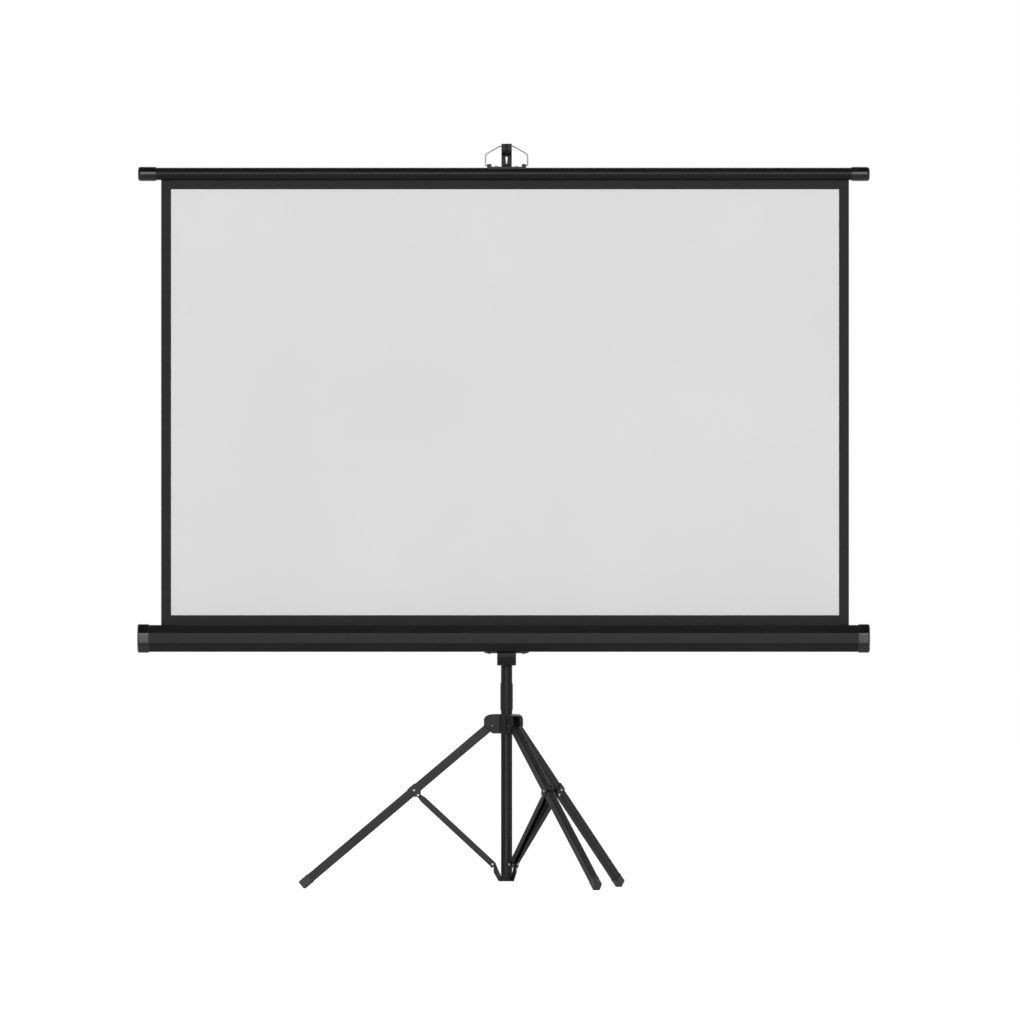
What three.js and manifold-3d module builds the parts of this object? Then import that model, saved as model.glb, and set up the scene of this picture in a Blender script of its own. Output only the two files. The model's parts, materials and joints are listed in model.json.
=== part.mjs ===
// Roll-up projection screen on a folding tripod, open for use.
// Millimetres, +Z up, the picture faces -Y and +X is to the viewer's right.
// Heights count from the floor and radii from the mast's axis.
import * as THREE from 'three';
import { mergeVertices } from 'three/addons/utils/BufferGeometryUtils.js';
import Module from 'manifold-3d';

const wasm = await Module();
wasm.setup();

const degrees = THREE.MathUtils.degToRad;

// Fits between neighbours
const FIT = 0.3;
const SADDLE_FIT = 0.2;

// Picture cloth
const PICTURE_WIDTH = 1542;
const PICTURE_HEIGHT = 983;
const SIDE_BORDER = 23;
const TOP_BORDER = 21;
const BOTTOM_BORDER = 22.6;
const CLOTH_THICKNESS = 0.6;
const SCREEN_SHIFT = -3.6;

// Tripod linkage, drawn in the upright plane of each leg
const LEG_AZIMUTHS = { left: degrees(176.2), front: degrees(-63.8), back: degrees(56.2) };
const PIVOT_RADIUS = 32;
const HUB_PIVOT_HEIGHT = 375.5;
const SPIDER_PIVOT_HEIGHT = 56;
const LEG_SLOPE = degrees(40.15);

// Legs and feet
const LEG_HEIGHT = 20.5;
const LEG_WIDTH = 16;
const LEG_WALL = 1.3;
const LEG_CORNER = 2.5;
const LEG_RISE = 3.5;
const LEG_TAIL = 8;
const FOOT_WALL = 1.2;
const FOOT_LENGTH = 27;
const FOOT_END = 6;
const FOOT_CORNER = 4;
const SOLE_CUT = 4;

// Rivets
const HUB_PIN_RADIUS = 3;
const HUB_PIN_HEAD = 4.8;
const RIVET_RADIUS = 2;
const RIVET_HEAD = 3.8;
const HEAD_HEIGHT = 2;
const HEAD_EDGE = 1.5;
const HEAD_FALL = 0.4;

// Clips and braces
const CLIP_LENGTH = 22;
const CLIP_WALL = 1.2;
const CLIP_EAR = 5.2;
const PIN_DROP = 14.5;
const BRACE_HEIGHT = 14.2;
const BRACE_WIDTH = 12;
const BRACE_WALL = 1.5;
const BRACE_NOSE = 3.9;
const BRACE_TAPER = 16;

// Spider and centre post
const SPIDER_BOTTOM = 16.6;
const SPIDER_HEIGHT = 13;
const SPIDER_WALL = 2.6;
const EAR_THICKNESS = 2.5;
const EAR_RADIUS = 7;
const EAR_HEEL = 18;
const POST_WALL = 1.5;
const POST_LENGTH = 205;

// Mast
const MAST_DIAMETER = 26.3;
const MAST_WALL = 1;
const MAST_LENGTH = 980;
const EXTENSION_WALL = 1;
const EXTENSION_OVERLAP = 150;

// Hub
const HUB_DROP = 17.5;
const HUB_HEIGHT = 45;
const HUB_WALL = 6;
const HUB_REACH = 20;
const HUB_CHEEK = 3.8;
const HUB_ROOF = 5.5;
const HUB_BROW = 15;
const HUB_BROW_LENGTH = 27;

// Grip sleeve
const GRIP_RISE = 8;
const GRIP_LENGTH = 64;
const GRIP_WALL = 1.2;
const GRIP_LIP = 0.6;
const GRIP_TAPER = 9;

// Collar at the top of the mast
const COLLAR_WALL = 5;
const COLLAR_SKIRT = 26;
const COLLAR_NECK = 24;
const BOSS_WIDTH = 18;
const BOSS_LENGTH = 9;

// Screw knobs
const KNOB_RADIUS = 14;
const KNOB_LENGTH = 15;
const KNOB_LOBES = 6;
const KNOB_LOBE_DEPTH = 1.6;
const KNOB_LOBE_STEPS = 8;
const KNOB_NECK_RADIUS = 6.5;
const KNOB_NECK_LENGTH = 4;
const SHANK_RADIUS = 3;

// Bracket that carries the casing
const BRACKET_RISE = 40;
const BRACKET_TOP_WIDTH = 44;
const BRACKET_FOOT_WIDTH = 40;
const BRACKET_DEPTH = 37;
const BRACKET_ARM_HEIGHT = 28.3;
const BRACKET_NOSE = 9;
const BRACKET_SLEEVE = 76;
const FLANGE_WIDTH = 104;
const FLANGE_DEPTH = 25;
const FLANGE_THICKNESS = 3.1;
const FLANGE_CHAMFER = 3;

// Casing
const CASING_SIDES = 8;
const CASING_FLATS = 62;
const CASING_WALL = 1.2;
const CASING_SLOT = 5;
const SLOT_SETBACK = 8.8;
const SPRING_END_ROOM = 55.3;
const IDLE_END_ROOM = 48.9;
const CASING_CAP_LENGTH = 27;
const CASING_CAP_WALL = 2.1;
const CASING_CAP_END = 3;
const CAP_BOSS_WALL = 4;
const CAP_BOSS_LENGTH = 12;
const SCREW_SPACING = 80;
const SCREW_RADIUS = 2;
const SCREW_HEAD = 3.6;
const SCREW_TIP = 4;

// Spring roller
const ROLLER_RADIUS = 13;
const ROLLER_WALL = 1;
const ROLLER_OVERHANG = 6;
const CLOTH_ROLL_BUILD = 2.7;
const PLUG_LENGTH = 16;
const PLUG_FLANGE = 3;
const SPRING_SHAFT_RADIUS = 4;
const SPRING_LENGTH = 280;
const SPRING_BUILD = 3;
const SHAFT_REACH = 330;
const IDLE_PIN_RADIUS = 3;

// Top bar
const BAR_DIAMETER = 29.3;
const BAR_WALL = 1.2;
const BAR_SLOT = 4;
const BAR_LEFT_OVERHANG = 53.3;
const BAR_RIGHT_OVERHANG = 47.8;
const BAR_CAP_LENGTH = 42;
const BAR_CAP_WALL = 1.6;
const BAR_CAP_END = 5;
const BAR_CAP_ROUNDING = 6;
const HEM_ROD_RADIUS = 4;

// Wire bail and its plate
const BAIL_PLATE_LENGTH = 90;
const BAIL_PLATE_WIDTH = 18;
const BAIL_PLATE_RISE = 2.4;
const LUG_LENGTH = 10;
const LUG_RADIUS = 4;
const BAIL_PIVOT_RISE = 4.3;
const WIRE_RADIUS = 1.5;
const BAIL_HEIGHT = 44.8;
const BAIL_LEG_LENGTH = 26;
const BAIL_TOP_WIDTH = 32;
const BAIL_BEND = 3.5;
const BAIL_CLEARANCE = 2;
const BAIL_SCREW_SPACING = 46;

// Hook on the extension
const HOOK_WIDTH = 24;
const HOOK_NOTCH = 12;
const HOOK_LIP = 8;
const HOOK_LIP_THICKNESS = 4;
const HOOK_ARM = 14;
const HOOK_CHAMFER = 4;
const HOOK_RISE = 5.3;
const HOOK_SPIGOT = 28;
const WINDOW_TOP_WIDTH = 6.5;
const WINDOW_FOOT_WIDTH = 2.6;
const WINDOW_HEIGHT = 16;
const WINDOW_SILL = 4;
const GROOVE_WIDTH = 3.6;
const GROOVE_DEPTH = 2;

// Facets
const ROUND_STEPS = 10;
const CORNER_STEPS = 2;
const PIN_SIDES = 12;
const TURNED_SIDES = 20;
const WIRE_STEPS = 44;
const WIRE_SIDES_STEPS = 3;
const FULL_TURN = 2 * Math.PI;
const QUARTER_TURN = Math.PI / 2;
const CUT_MARGIN = 5;

// Linkage worked out from the driving sizes
const pinSetback = PIN_DROP - LEG_RISE;
const linkHalfHeight = (HUB_PIVOT_HEIGHT - SPIDER_PIVOT_HEIGHT) / 2;
const pinAlongLeg = (linkHalfHeight - pinSetback * Math.cos(LEG_SLOPE)) / Math.sin(LEG_SLOPE);
const pinReach = pinAlongLeg * Math.cos(LEG_SLOPE) - pinSetback * Math.sin(LEG_SLOPE);
const braceLength = Math.hypot(pinReach, linkHalfHeight);
const braceSlope = Math.atan2(linkHalfHeight, pinReach);

const footHeight = LEG_HEIGHT + 2 * (FIT + FOOT_WALL);
const footWidth = LEG_WIDTH + 2 * (FIT + FOOT_WALL);
const heelAlongLeg =
  (HUB_PIVOT_HEIGHT + (LEG_RISE - footHeight / 2) * Math.cos(LEG_SLOPE)) / Math.sin(LEG_SLOPE);
const footTip = heelAlongLeg + SOLE_CUT;

// Mast heights and radii
const mastRadius = MAST_DIAMETER / 2;
const mastBore = mastRadius - MAST_WALL;
const postRadius = mastBore - FIT;
const extensionRadius = mastBore - FIT;
const extensionBore = extensionRadius - EXTENSION_WALL;
const spiderTop = SPIDER_BOTTOM + SPIDER_HEIGHT;
const mastBottom = spiderTop + FIT;
const mastTop = mastBottom + MAST_LENGTH;
const hubBottom = HUB_PIVOT_HEIGHT - HUB_DROP;
const hubTop = hubBottom + HUB_HEIGHT;
const gripBottom = hubTop + GRIP_RISE;
const gripTop = gripBottom + GRIP_LENGTH;

// Casing and cloth places
const bracketBottom = gripTop + BRACKET_RISE;
const flangeBottom = bracketBottom + BRACKET_ARM_HEIGHT;
const flangeTop = flangeBottom + FLANGE_THICKNESS;
const casingHeight = flangeTop + FIT + CASING_FLATS / 2;
const casingTop = casingHeight + CASING_FLATS / 2;
const casingY = -(BRACKET_DEPTH / 2 + FIT + CASING_FLATS / 2);
const clothY = casingY + SLOT_SETBACK;
const clothWidth = PICTURE_WIDTH + 2 * SIDE_BORDER;
const clothLeft = SCREEN_SHIFT - clothWidth / 2;
const clothRight = SCREEN_SHIFT + clothWidth / 2;
const casingLeft = clothLeft - SPRING_END_ROOM;
const casingRight = clothRight + IDLE_END_ROOM;
const clothRollRadius = ROLLER_RADIUS + FIT + CLOTH_ROLL_BUILD;
const rollerY = clothY - CLOTH_THICKNESS / 2 - FIT - clothRollRadius;

// Top bar, bail and hook places
const barRadius = BAR_DIAMETER / 2;
const barHeight = casingTop + BOTTOM_BORDER + PICTURE_HEIGHT + TOP_BORDER + barRadius;
const barTop = barHeight + barRadius;
const barLeft = clothLeft - BAR_LEFT_OVERHANG;
const barRight = clothRight + BAR_RIGHT_OVERHANG;
const bailPivotHeight = barTop + BAIL_PIVOT_RISE;
const bailTop = bailPivotHeight + BAIL_HEIGHT;
const notchHeight = bailTop - WIRE_RADIUS - FIT;
const hookTop = notchHeight + HOOK_LIP;
const hookBottom = barTop + HOOK_RISE;

// Solids
function solid(geometry) {
  const bare = geometry.clone();
  bare.deleteAttribute('normal');
  bare.deleteAttribute('uv');
  const welded = mergeVertices(bare);
  const corners = welded.index.array;
  const kept = [];
  for (let i = 0; i < corners.length; i += 3) {
    const [a, b, c] = corners.slice(i, i + 3);
    if (a !== b && b !== c && c !== a) kept.push(a, b, c);
  }
  const vertProperties = new Float32Array(welded.attributes.position.array);
  const triVerts = new Uint32Array(kept);
  return new wasm.Manifold(new wasm.Mesh({ numProp: 3, vertProperties, triVerts }));
}

function surface(body) {
  const { vertProperties, triVerts } = body.getMesh();
  const geometry = new THREE.BufferGeometry();
  geometry.setAttribute('position', new THREE.BufferAttribute(new Float32Array(vertProperties), 3));
  geometry.setIndex(new THREE.BufferAttribute(new Uint32Array(triVerts), 1));
  return geometry;
}

function join(first, ...others) {
  return surface(others.reduce((body, other) => body.add(solid(other)), solid(first)));
}

function cut(first, ...others) {
  return surface(others.reduce((body, other) => body.subtract(solid(other)), solid(first)));
}

function common(first, second) {
  return surface(solid(first).intersect(solid(second)));
}

// Outlines
function outline(points) {
  return new THREE.Shape(points.map(([x, y]) => new THREE.Vector2(x, y)));
}

function disc(radius) {
  return new THREE.Shape().absarc(0, 0, radius, 0, FULL_TURN);
}

function annulus(outer, inner) {
  const shape = disc(outer);
  shape.holes.push(new THREE.Path().absarc(0, 0, inner, 0, FULL_TURN));
  return shape;
}

function roundedRectangle(width, height, radius) {
  const x = width / 2 - radius;
  const y = height / 2 - radius;
  const shape = new THREE.Shape();
  shape.absarc(x, y, radius, 0, QUARTER_TURN);
  shape.absarc(-x, y, radius, QUARTER_TURN, 2 * QUARTER_TURN);
  shape.absarc(-x, -y, radius, 2 * QUARTER_TURN, 3 * QUARTER_TURN);
  shape.absarc(x, -y, radius, 3 * QUARTER_TURN, FULL_TURN);
  return shape;
}

function octagon(flats) {
  const sector = FULL_TURN / CASING_SIDES;
  const radius = flats / 2 / Math.cos(sector / 2);
  const corners = Array.from({ length: CASING_SIDES }, (_, i) => (i + 0.5) * sector);
  return outline(corners.map((angle) => [radius * Math.cos(angle), radius * Math.sin(angle)]));
}

// Extrusions along each axis; the outline's own axes are X,Y or Y,Z or X,Z
const X = new THREE.Vector3(1, 0, 0);
const Y = new THREE.Vector3(0, 1, 0);
const Z = new THREE.Vector3(0, 0, 1);
const ACROSS_X = new THREE.Matrix4().makeBasis(Y, Z, X);
const ACROSS_Y = new THREE.Matrix4().makeBasis(X, Z, Y.clone().negate());

function alongZ(shape, start, end, steps = ROUND_STEPS) {
  const options = { depth: end - start, bevelEnabled: false, curveSegments: steps };
  return new THREE.ExtrudeGeometry(shape, options).translate(0, 0, start);
}

function alongX(shape, start, end, steps = ROUND_STEPS) {
  return alongZ(shape, 0, end - start, steps).applyMatrix4(ACROSS_X).translate(start, 0, 0);
}

function alongY(shape, start, end, steps = ROUND_STEPS) {
  return alongZ(shape, 0, end - start, steps).applyMatrix4(ACROSS_Y).translate(0, end, 0);
}

function block([x0, x1], [y0, y1], [z0, z1]) {
  const geometry = new THREE.BoxGeometry(x1 - x0, y1 - y0, z1 - z0);
  return geometry.translate((x0 + x1) / 2, (y0 + y1) / 2, (z0 + z1) / 2);
}

// A profile of [radius, height] points turned about Z
function turned(profile, sides = TURNED_SIDES) {
  const points = profile.map(([radius, height]) => new THREE.Vector2(radius, height));
  return new THREE.LatheGeometry(points, sides).rotateX(QUARTER_TURN);
}

// A rod across the leg, along Y, through a point in the leg's plane
function crossRod(radius, width, x, z) {
  return alongY(disc(radius), -width / 2, width / 2, PIN_SIDES / 2).translate(x, 0, z);
}

// A rivet across the leg with a domed head outside each face of the stack that it holds
function rivet(radius, head, stack, x, z) {
  const seat = stack / 2 + FIT;
  const crown = seat + HEAD_HEIGHT;
  const profile = [
    [0, -crown],
    [head - HEAD_EDGE, HEAD_FALL - crown],
    [head, -seat],
    [radius, -seat],
    [radius, seat],
    [head, seat],
    [head - HEAD_EDGE, crown - HEAD_FALL],
    [0, crown],
  ];
  return turned(profile, PIN_SIDES).rotateX(QUARTER_TURN).translate(x, 0, z);
}

// Finishes
function finish(color, roughness, metalness) {
  return new THREE.MeshStandardMaterial({ color, roughness, metalness });
}

const TUBE_PAINT = finish(0x222224, 0.45, 0.3);
const CASING_PAINT = finish(0x262628, 0.5, 0.3);
const BLACK_PLASTIC = finish(0x1c1c1e, 0.5, 0);
const GLOSS_PLASTIC = finish(0x18181a, 0.25, 0);
const FOOT_PLASTIC = finish(0x2a2a2c, 0.6, 0);
const BARE_STEEL = finish(0x9a9a9c, 0.35, 0.9);
const INNER_STEEL = finish(0x8c8c8e, 0.4, 0.9);
const WHITE_CLOTH = finish(0xdadada, 0.9, 0);

const screen = new THREE.Group();

function place(parent, name, geometry, material) {
  const mesh = new THREE.Mesh(geometry, material);
  mesh.name = name;
  parent.add(mesh);
}

// Centre post, which slides inside the mast, and the spider fixed on its foot
const postTop = SPIDER_BOTTOM + POST_LENGTH;
const post = alongZ(annulus(postRadius, postRadius - POST_WALL), SPIDER_BOTTOM, postTop);
place(screen, 'centre_post', post, INNER_STEEL);

const slotHalf = RIVET_RADIUS + FIT;
const earGap = BRACE_WIDTH + 2 * FIT;
const earSpread = earGap + 2 * EAR_THICKNESS;

function spiderEar() {
  const shape = new THREE.Shape();
  shape.moveTo(0, SPIDER_BOTTOM);
  shape.lineTo(EAR_HEEL, SPIDER_BOTTOM);
  shape.lineTo(PIVOT_RADIUS + EAR_RADIUS, SPIDER_PIVOT_HEIGHT - slotHalf);
  shape.absarc(PIVOT_RADIUS, SPIDER_PIVOT_HEIGHT, EAR_RADIUS, 0, 2 * QUARTER_TURN);
  shape.lineTo(mastRadius + FIT, spiderTop);
  shape.lineTo(0, spiderTop);
  const slot = [PIVOT_RADIUS - slotHalf, PIVOT_RADIUS + slotHalf];
  const across = [-earSpread, earSpread];
  return cut(
    alongY(shape, -earSpread / 2, earSpread / 2, CORNER_STEPS * 2),
    block([0, PIVOT_RADIUS + 2 * EAR_RADIUS], [-earGap / 2, earGap / 2], [0, HUB_PIVOT_HEIGHT]),
    crossRod(slotHalf, 2 * earSpread, PIVOT_RADIUS, SPIDER_PIVOT_HEIGHT),
    block(slot, across, [0, SPIDER_PIVOT_HEIGHT]),
  );
}

const spiderRadius = postRadius + FIT + SPIDER_WALL;
const spiderEars = Object.values(LEG_AZIMUTHS).map((azimuth) => spiderEar().rotateZ(azimuth));
const spiderBore = alongZ(disc(postRadius + FIT), 0, HUB_PIVOT_HEIGHT);
const spiderCollar = alongZ(disc(spiderRadius), SPIDER_BOTTOM, spiderTop);
const spider = cut(join(spiderCollar, ...spiderEars), spiderBore);
place(screen, 'brace_spider', spider, BLACK_PLASTIC);

// Mast tube with the grip sleeve above the hub
const mast = alongZ(annulus(mastRadius, mastBore), mastBottom, mastTop);
place(screen, 'mast_tube', mast, TUBE_PAINT);

const gripBore = mastRadius + FIT;
const gripProfile = [
  [gripBore, gripBottom],
  [gripBore + GRIP_LIP, gripBottom],
  [gripBore + GRIP_WALL, gripBottom + GRIP_TAPER],
  [gripBore + GRIP_WALL, gripTop - GRIP_TAPER],
  [gripBore + GRIP_LIP, gripTop],
  [gripBore, gripTop],
  [gripBore, gripBottom],
];
place(screen, 'grip_sleeve', turned(gripProfile), BLACK_PLASTIC);

// Hub with an arched lobe over the top of each leg
const hubRadius = mastRadius + FIT + HUB_WALL;
const lobeWidth = LEG_WIDTH + 2 * (FIT + HUB_CHEEK);
const lobeReach = PIVOT_RADIUS + HUB_REACH;

function hubLobe() {
  const shape = new THREE.Shape();
  shape.moveTo(0, hubBottom);
  shape.lineTo(PIVOT_RADIUS, hubBottom);
  shape.lineTo(lobeReach, HUB_PIVOT_HEIGHT);
  shape.lineTo(lobeReach, hubTop - HUB_BROW);
  shape.quadraticCurveTo(lobeReach, hubTop, lobeReach - HUB_BROW_LENGTH, hubTop);
  shape.lineTo(0, hubTop);
  const slotWidth = LEG_WIDTH + 2 * FIT;
  const slotRadii = [hubRadius + FIT, lobeReach + CUT_MARGIN];
  const slotHeights = [hubBottom - CUT_MARGIN, hubTop - HUB_ROOF];
  return cut(
    alongY(shape, -lobeWidth / 2, lobeWidth / 2, CORNER_STEPS * 3),
    block(slotRadii, [-slotWidth / 2, slotWidth / 2], slotHeights),
    crossRod(HUB_PIN_RADIUS + FIT, 2 * lobeWidth, PIVOT_RADIUS, HUB_PIVOT_HEIGHT),
  );
}

const hubLobes = Object.values(LEG_AZIMUTHS).map((azimuth) => hubLobe().rotateZ(azimuth));
const hubBore = alongZ(disc(mastRadius + FIT), hubBottom - CUT_MARGIN, hubTop + CUT_MARGIN);
const hubCore = alongZ(disc(hubRadius), hubBottom, hubTop);
place(screen, 'leg_hub', cut(join(hubCore, ...hubLobes), hubBore), BLACK_PLASTIC);

// Legs, in a frame with X down the leg, Y across it, Z out of its upper face and the hub pivot at 0
const footBack = footTip - FOOT_LENGTH;
const tubeEnd = footTip - FOOT_END - FIT;
const clipTop = LEG_RISE + LEG_HEIGHT / 2 + SADDLE_FIT;
const clipInside = LEG_WIDTH / 2 + SADDLE_FIT;
const clipSpread = 2 * (clipInside + CLIP_WALL);

function legTube() {
  const section = roundedRectangle(LEG_WIDTH, LEG_HEIGHT, LEG_CORNER);
  section.holes.push(
    roundedRectangle(LEG_WIDTH - 2 * LEG_WALL, LEG_HEIGHT - 2 * LEG_WALL, LEG_CORNER - LEG_WALL),
  );
  return cut(
    alongX(section, -LEG_TAIL, tubeEnd, CORNER_STEPS).translate(0, 0, LEG_RISE),
    crossRod(HUB_PIN_RADIUS + FIT, 2 * LEG_WIDTH, 0, 0),
    crossRod(RIVET_RADIUS + FIT, 2 * LEG_WIDTH, pinAlongLeg, LEG_RISE),
  );
}

// The cap closes the tube's end and is cut level where it stands on the floor
function footCap(floorToLeg) {
  const outside = roundedRectangle(footWidth, footHeight, FOOT_CORNER);
  const inside = roundedRectangle(LEG_WIDTH + 2 * FIT, LEG_HEIGHT + 2 * FIT, LEG_CORNER);
  const reach = [-2 * footTip, 2 * footTip];
  const floor = block(reach, [-footWidth, footWidth], [-footHeight * 2, 0]);
  return cut(
    alongX(outside, footBack, footTip, CORNER_STEPS * 2).translate(0, 0, LEG_RISE),
    alongX(inside, footBack - CUT_MARGIN, footTip - FOOT_END, CORNER_STEPS).translate(0, 0, LEG_RISE),
    floor.applyMatrix4(floorToLeg),
  );
}

function legClip() {
  const shape = new THREE.Shape();
  const start = pinAlongLeg - CLIP_LENGTH / 2;
  const end = pinAlongLeg + CLIP_LENGTH / 2;
  const legFace = LEG_RISE - LEG_HEIGHT / 2;
  shape.moveTo(start, clipTop + CLIP_WALL);
  shape.lineTo(start, legFace);
  shape.absarc(pinAlongLeg, -pinSetback, CLIP_EAR, 2 * QUARTER_TURN, FULL_TURN);
  shape.lineTo(end, legFace);
  shape.lineTo(end, clipTop + CLIP_WALL);
  const inside = block(
    [start - CUT_MARGIN, end + CUT_MARGIN],
    [-clipInside, clipInside],
    [-pinSetback - 2 * CLIP_EAR, clipTop],
  );
  return cut(
    alongY(shape, -clipSpread / 2, clipSpread / 2, CORNER_STEPS * 2),
    inside,
    crossRod(RIVET_RADIUS + FIT, 2 * clipSpread, pinAlongLeg, LEG_RISE),
    crossRod(RIVET_RADIUS + FIT, 2 * clipSpread, pinAlongLeg, -pinSetback),
  );
}

// Braces, in a frame with X down the brace, Z out of its open side and the clip pin at 0
function braceArm() {
  const half = BRACE_HEIGHT / 2;
  const shape = new THREE.Shape();
  shape.absarc(0, 0, BRACE_NOSE, QUARTER_TURN, 3 * QUARTER_TURN);
  shape.lineTo(BRACE_TAPER, -half);
  shape.absarc(braceLength, 0, half, -QUARTER_TURN, QUARTER_TURN);
  shape.lineTo(BRACE_TAPER, half);
  const inside = BRACE_WIDTH / 2 - BRACE_WALL;
  const channel = [-half, braceLength + BRACE_HEIGHT];
  return cut(
    alongY(shape, -BRACE_WIDTH / 2, BRACE_WIDTH / 2, CORNER_STEPS * 2),
    block(channel, [-inside, inside], [BRACE_WALL - half, BRACE_HEIGHT]),
    crossRod(RIVET_RADIUS + FIT, 2 * BRACE_WIDTH, 0, 0),
    crossRod(RIVET_RADIUS + FIT, 2 * BRACE_WIDTH, braceLength, 0),
  );
}

for (const [side, azimuth] of Object.entries(LEG_AZIMUTHS)) {
  const spoke = new THREE.Group();
  spoke.rotation.z = azimuth;
  screen.add(spoke);

  const hubPin = rivet(HUB_PIN_RADIUS, HUB_PIN_HEAD, lobeWidth, PIVOT_RADIUS, HUB_PIVOT_HEIGHT);
  place(spoke, `hub_pin_${side}`, hubPin, BARE_STEEL);

  const leg = new THREE.Group();
  leg.position.set(PIVOT_RADIUS, 0, HUB_PIVOT_HEIGHT);
  leg.rotation.y = LEG_SLOPE;
  leg.updateMatrix();
  spoke.add(leg);
  const floorToLeg = leg.matrix.clone().invert();
  place(leg, `leg_${side}`, legTube(), TUBE_PAINT);
  place(leg, `foot_${side}`, footCap(floorToLeg), FOOT_PLASTIC);
  place(leg, `clip_${side}`, legClip(), TUBE_PAINT);
  const clipRivet = rivet(RIVET_RADIUS, RIVET_HEAD, clipSpread, pinAlongLeg, LEG_RISE);
  place(leg, `clip_rivet_${side}`, clipRivet, BARE_STEEL);
  const bracePin = rivet(RIVET_RADIUS, RIVET_HEAD, clipSpread, pinAlongLeg, -pinSetback);
  place(leg, `brace_pin_${side}`, bracePin, BARE_STEEL);

  const brace = new THREE.Group();
  brace.position.set(PIVOT_RADIUS + pinReach, 0, HUB_PIVOT_HEIGHT - linkHalfHeight);
  brace.rotation.y = Math.PI - braceSlope;
  spoke.add(brace);
  place(brace, `brace_${side}`, braceArm(), TUBE_PAINT);
  const spiderPin = rivet(RIVET_RADIUS, RIVET_HEAD, earSpread, braceLength, 0);
  place(brace, `spider_pin_${side}`, spiderPin, BARE_STEEL);
}

// Collar on the mast's top end, with a boss for the screw knob behind
const collarRadius = mastRadius + FIT + COLLAR_WALL;
const collarBottom = mastTop - COLLAR_SKIRT;
const collarTop = mastTop + COLLAR_NECK;
const clampHeight = mastTop + COLLAR_NECK / 2;
const bossEnd = collarRadius + BOSS_LENGTH;
const collarBoss = block(
  [-BOSS_WIDTH / 2, BOSS_WIDTH / 2],
  [0, bossEnd],
  [clampHeight - BOSS_WIDTH / 2, clampHeight + BOSS_WIDTH / 2],
);
const collar = cut(
  join(alongZ(disc(collarRadius), collarBottom, collarTop), collarBoss),
  alongZ(disc(mastRadius + FIT), collarBottom - CUT_MARGIN, mastTop + FIT),
  alongZ(disc(extensionRadius + FIT), mastTop, collarTop + CUT_MARGIN),
  alongY(disc(SHANK_RADIUS + FIT), 0, 2 * bossEnd, PIN_SIDES / 2).translate(0, 0, clampHeight),
);
place(screen, 'mast_collar', collar, BLACK_PLASTIC);

// A lobed screw knob; its shank points along -Y and ends against a tube of the given radius
function screwKnob(tubeRadius, seat, height) {
  const rimSteps = KNOB_LOBES * KNOB_LOBE_STEPS;
  const rim = Array.from({ length: rimSteps }, (_, i) => {
    const angle = (i * FULL_TURN) / rimSteps;
    const radius = KNOB_RADIUS - (KNOB_LOBE_DEPTH * (1 - Math.cos(KNOB_LOBES * angle))) / 2;
    return [radius * Math.cos(angle), radius * Math.sin(angle)];
  });
  const neckStart = seat + FIT;
  const rimStart = neckStart + KNOB_NECK_LENGTH;
  return join(
    alongY(outline(rim), rimStart, rimStart + KNOB_LENGTH),
    alongY(disc(KNOB_NECK_RADIUS), neckStart, rimStart + FIT),
    alongY(disc(SHANK_RADIUS), tubeRadius + FIT, rimStart + FIT, PIN_SIDES / 2),
  ).translate(0, 0, height);
}

place(screen, 'mast_knob', screwKnob(extensionRadius, bossEnd, clampHeight), BLACK_PLASTIC);

// Bracket that slides on the mast and carries the casing on a flange in front of it
const bracketSleeveTop = bracketBottom + BRACKET_SLEEVE;
const flangeFront = casingY - FLANGE_DEPTH / 2;
const flangeBack = casingY + FLANGE_DEPTH / 2;
const bracketBack = BRACKET_DEPTH / 2;
const bracketSide = outline([
  [bracketBack, bracketBottom],
  [bracketBack, bracketSleeveTop],
  [-bracketBack, bracketSleeveTop],
  [-bracketBack, flangeTop],
  [flangeFront, flangeTop],
  [flangeFront, flangeBottom - BRACKET_NOSE],
  [flangeBack, bracketBottom],
]);
const bracketFront = outline([
  [-BRACKET_FOOT_WIDTH / 2, bracketBottom],
  [BRACKET_FOOT_WIDTH / 2, bracketBottom],
  [BRACKET_TOP_WIDTH / 2, flangeBottom],
  [BRACKET_TOP_WIDTH / 2, bracketSleeveTop],
  [-BRACKET_TOP_WIDTH / 2, bracketSleeveTop],
  [-BRACKET_TOP_WIDTH / 2, flangeBottom],
]);
const flange = outline([
  [-FLANGE_WIDTH / 2, flangeTop],
  [-FLANGE_WIDTH / 2 + FLANGE_CHAMFER, flangeBottom],
  [FLANGE_WIDTH / 2 - FLANGE_CHAMFER, flangeBottom],
  [FLANGE_WIDTH / 2, flangeTop],
]);
const knobHeight = (flangeTop + bracketSleeveTop) / 2;
const screwPlaces = { left: -SCREW_SPACING / 2, right: SCREW_SPACING / 2 };
const screwHoles = Object.values(screwPlaces).map((x) => {
  const hole = alongZ(disc(SCREW_RADIUS + FIT), flangeBottom - CUT_MARGIN, casingHeight, PIN_SIDES / 2);
  return hole.translate(x, casingY, 0);
});
const bracketBody = common(
  alongX(bracketSide, -BRACKET_TOP_WIDTH / 2, BRACKET_TOP_WIDTH / 2),
  alongY(bracketFront, 2 * flangeFront, 2 * bracketBack),
);
const boreStart = bracketBottom - CUT_MARGIN;
const bracketBore = alongZ(disc(mastRadius + FIT), boreStart, bracketSleeveTop + CUT_MARGIN);
const bracketKnobHole = alongY(disc(SHANK_RADIUS + FIT), 0, 2 * bracketBack, PIN_SIDES / 2);
const bracket = cut(
  join(bracketBody, alongY(flange, flangeFront, flangeBack)),
  bracketBore,
  bracketKnobHole.translate(0, 0, knobHeight),
  ...screwHoles,
);
place(screen, 'casing_bracket', bracket, BLACK_PLASTIC);
place(screen, 'bracket_knob', screwKnob(mastRadius, bracketBack, knobHeight), BLACK_PLASTIC);

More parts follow.
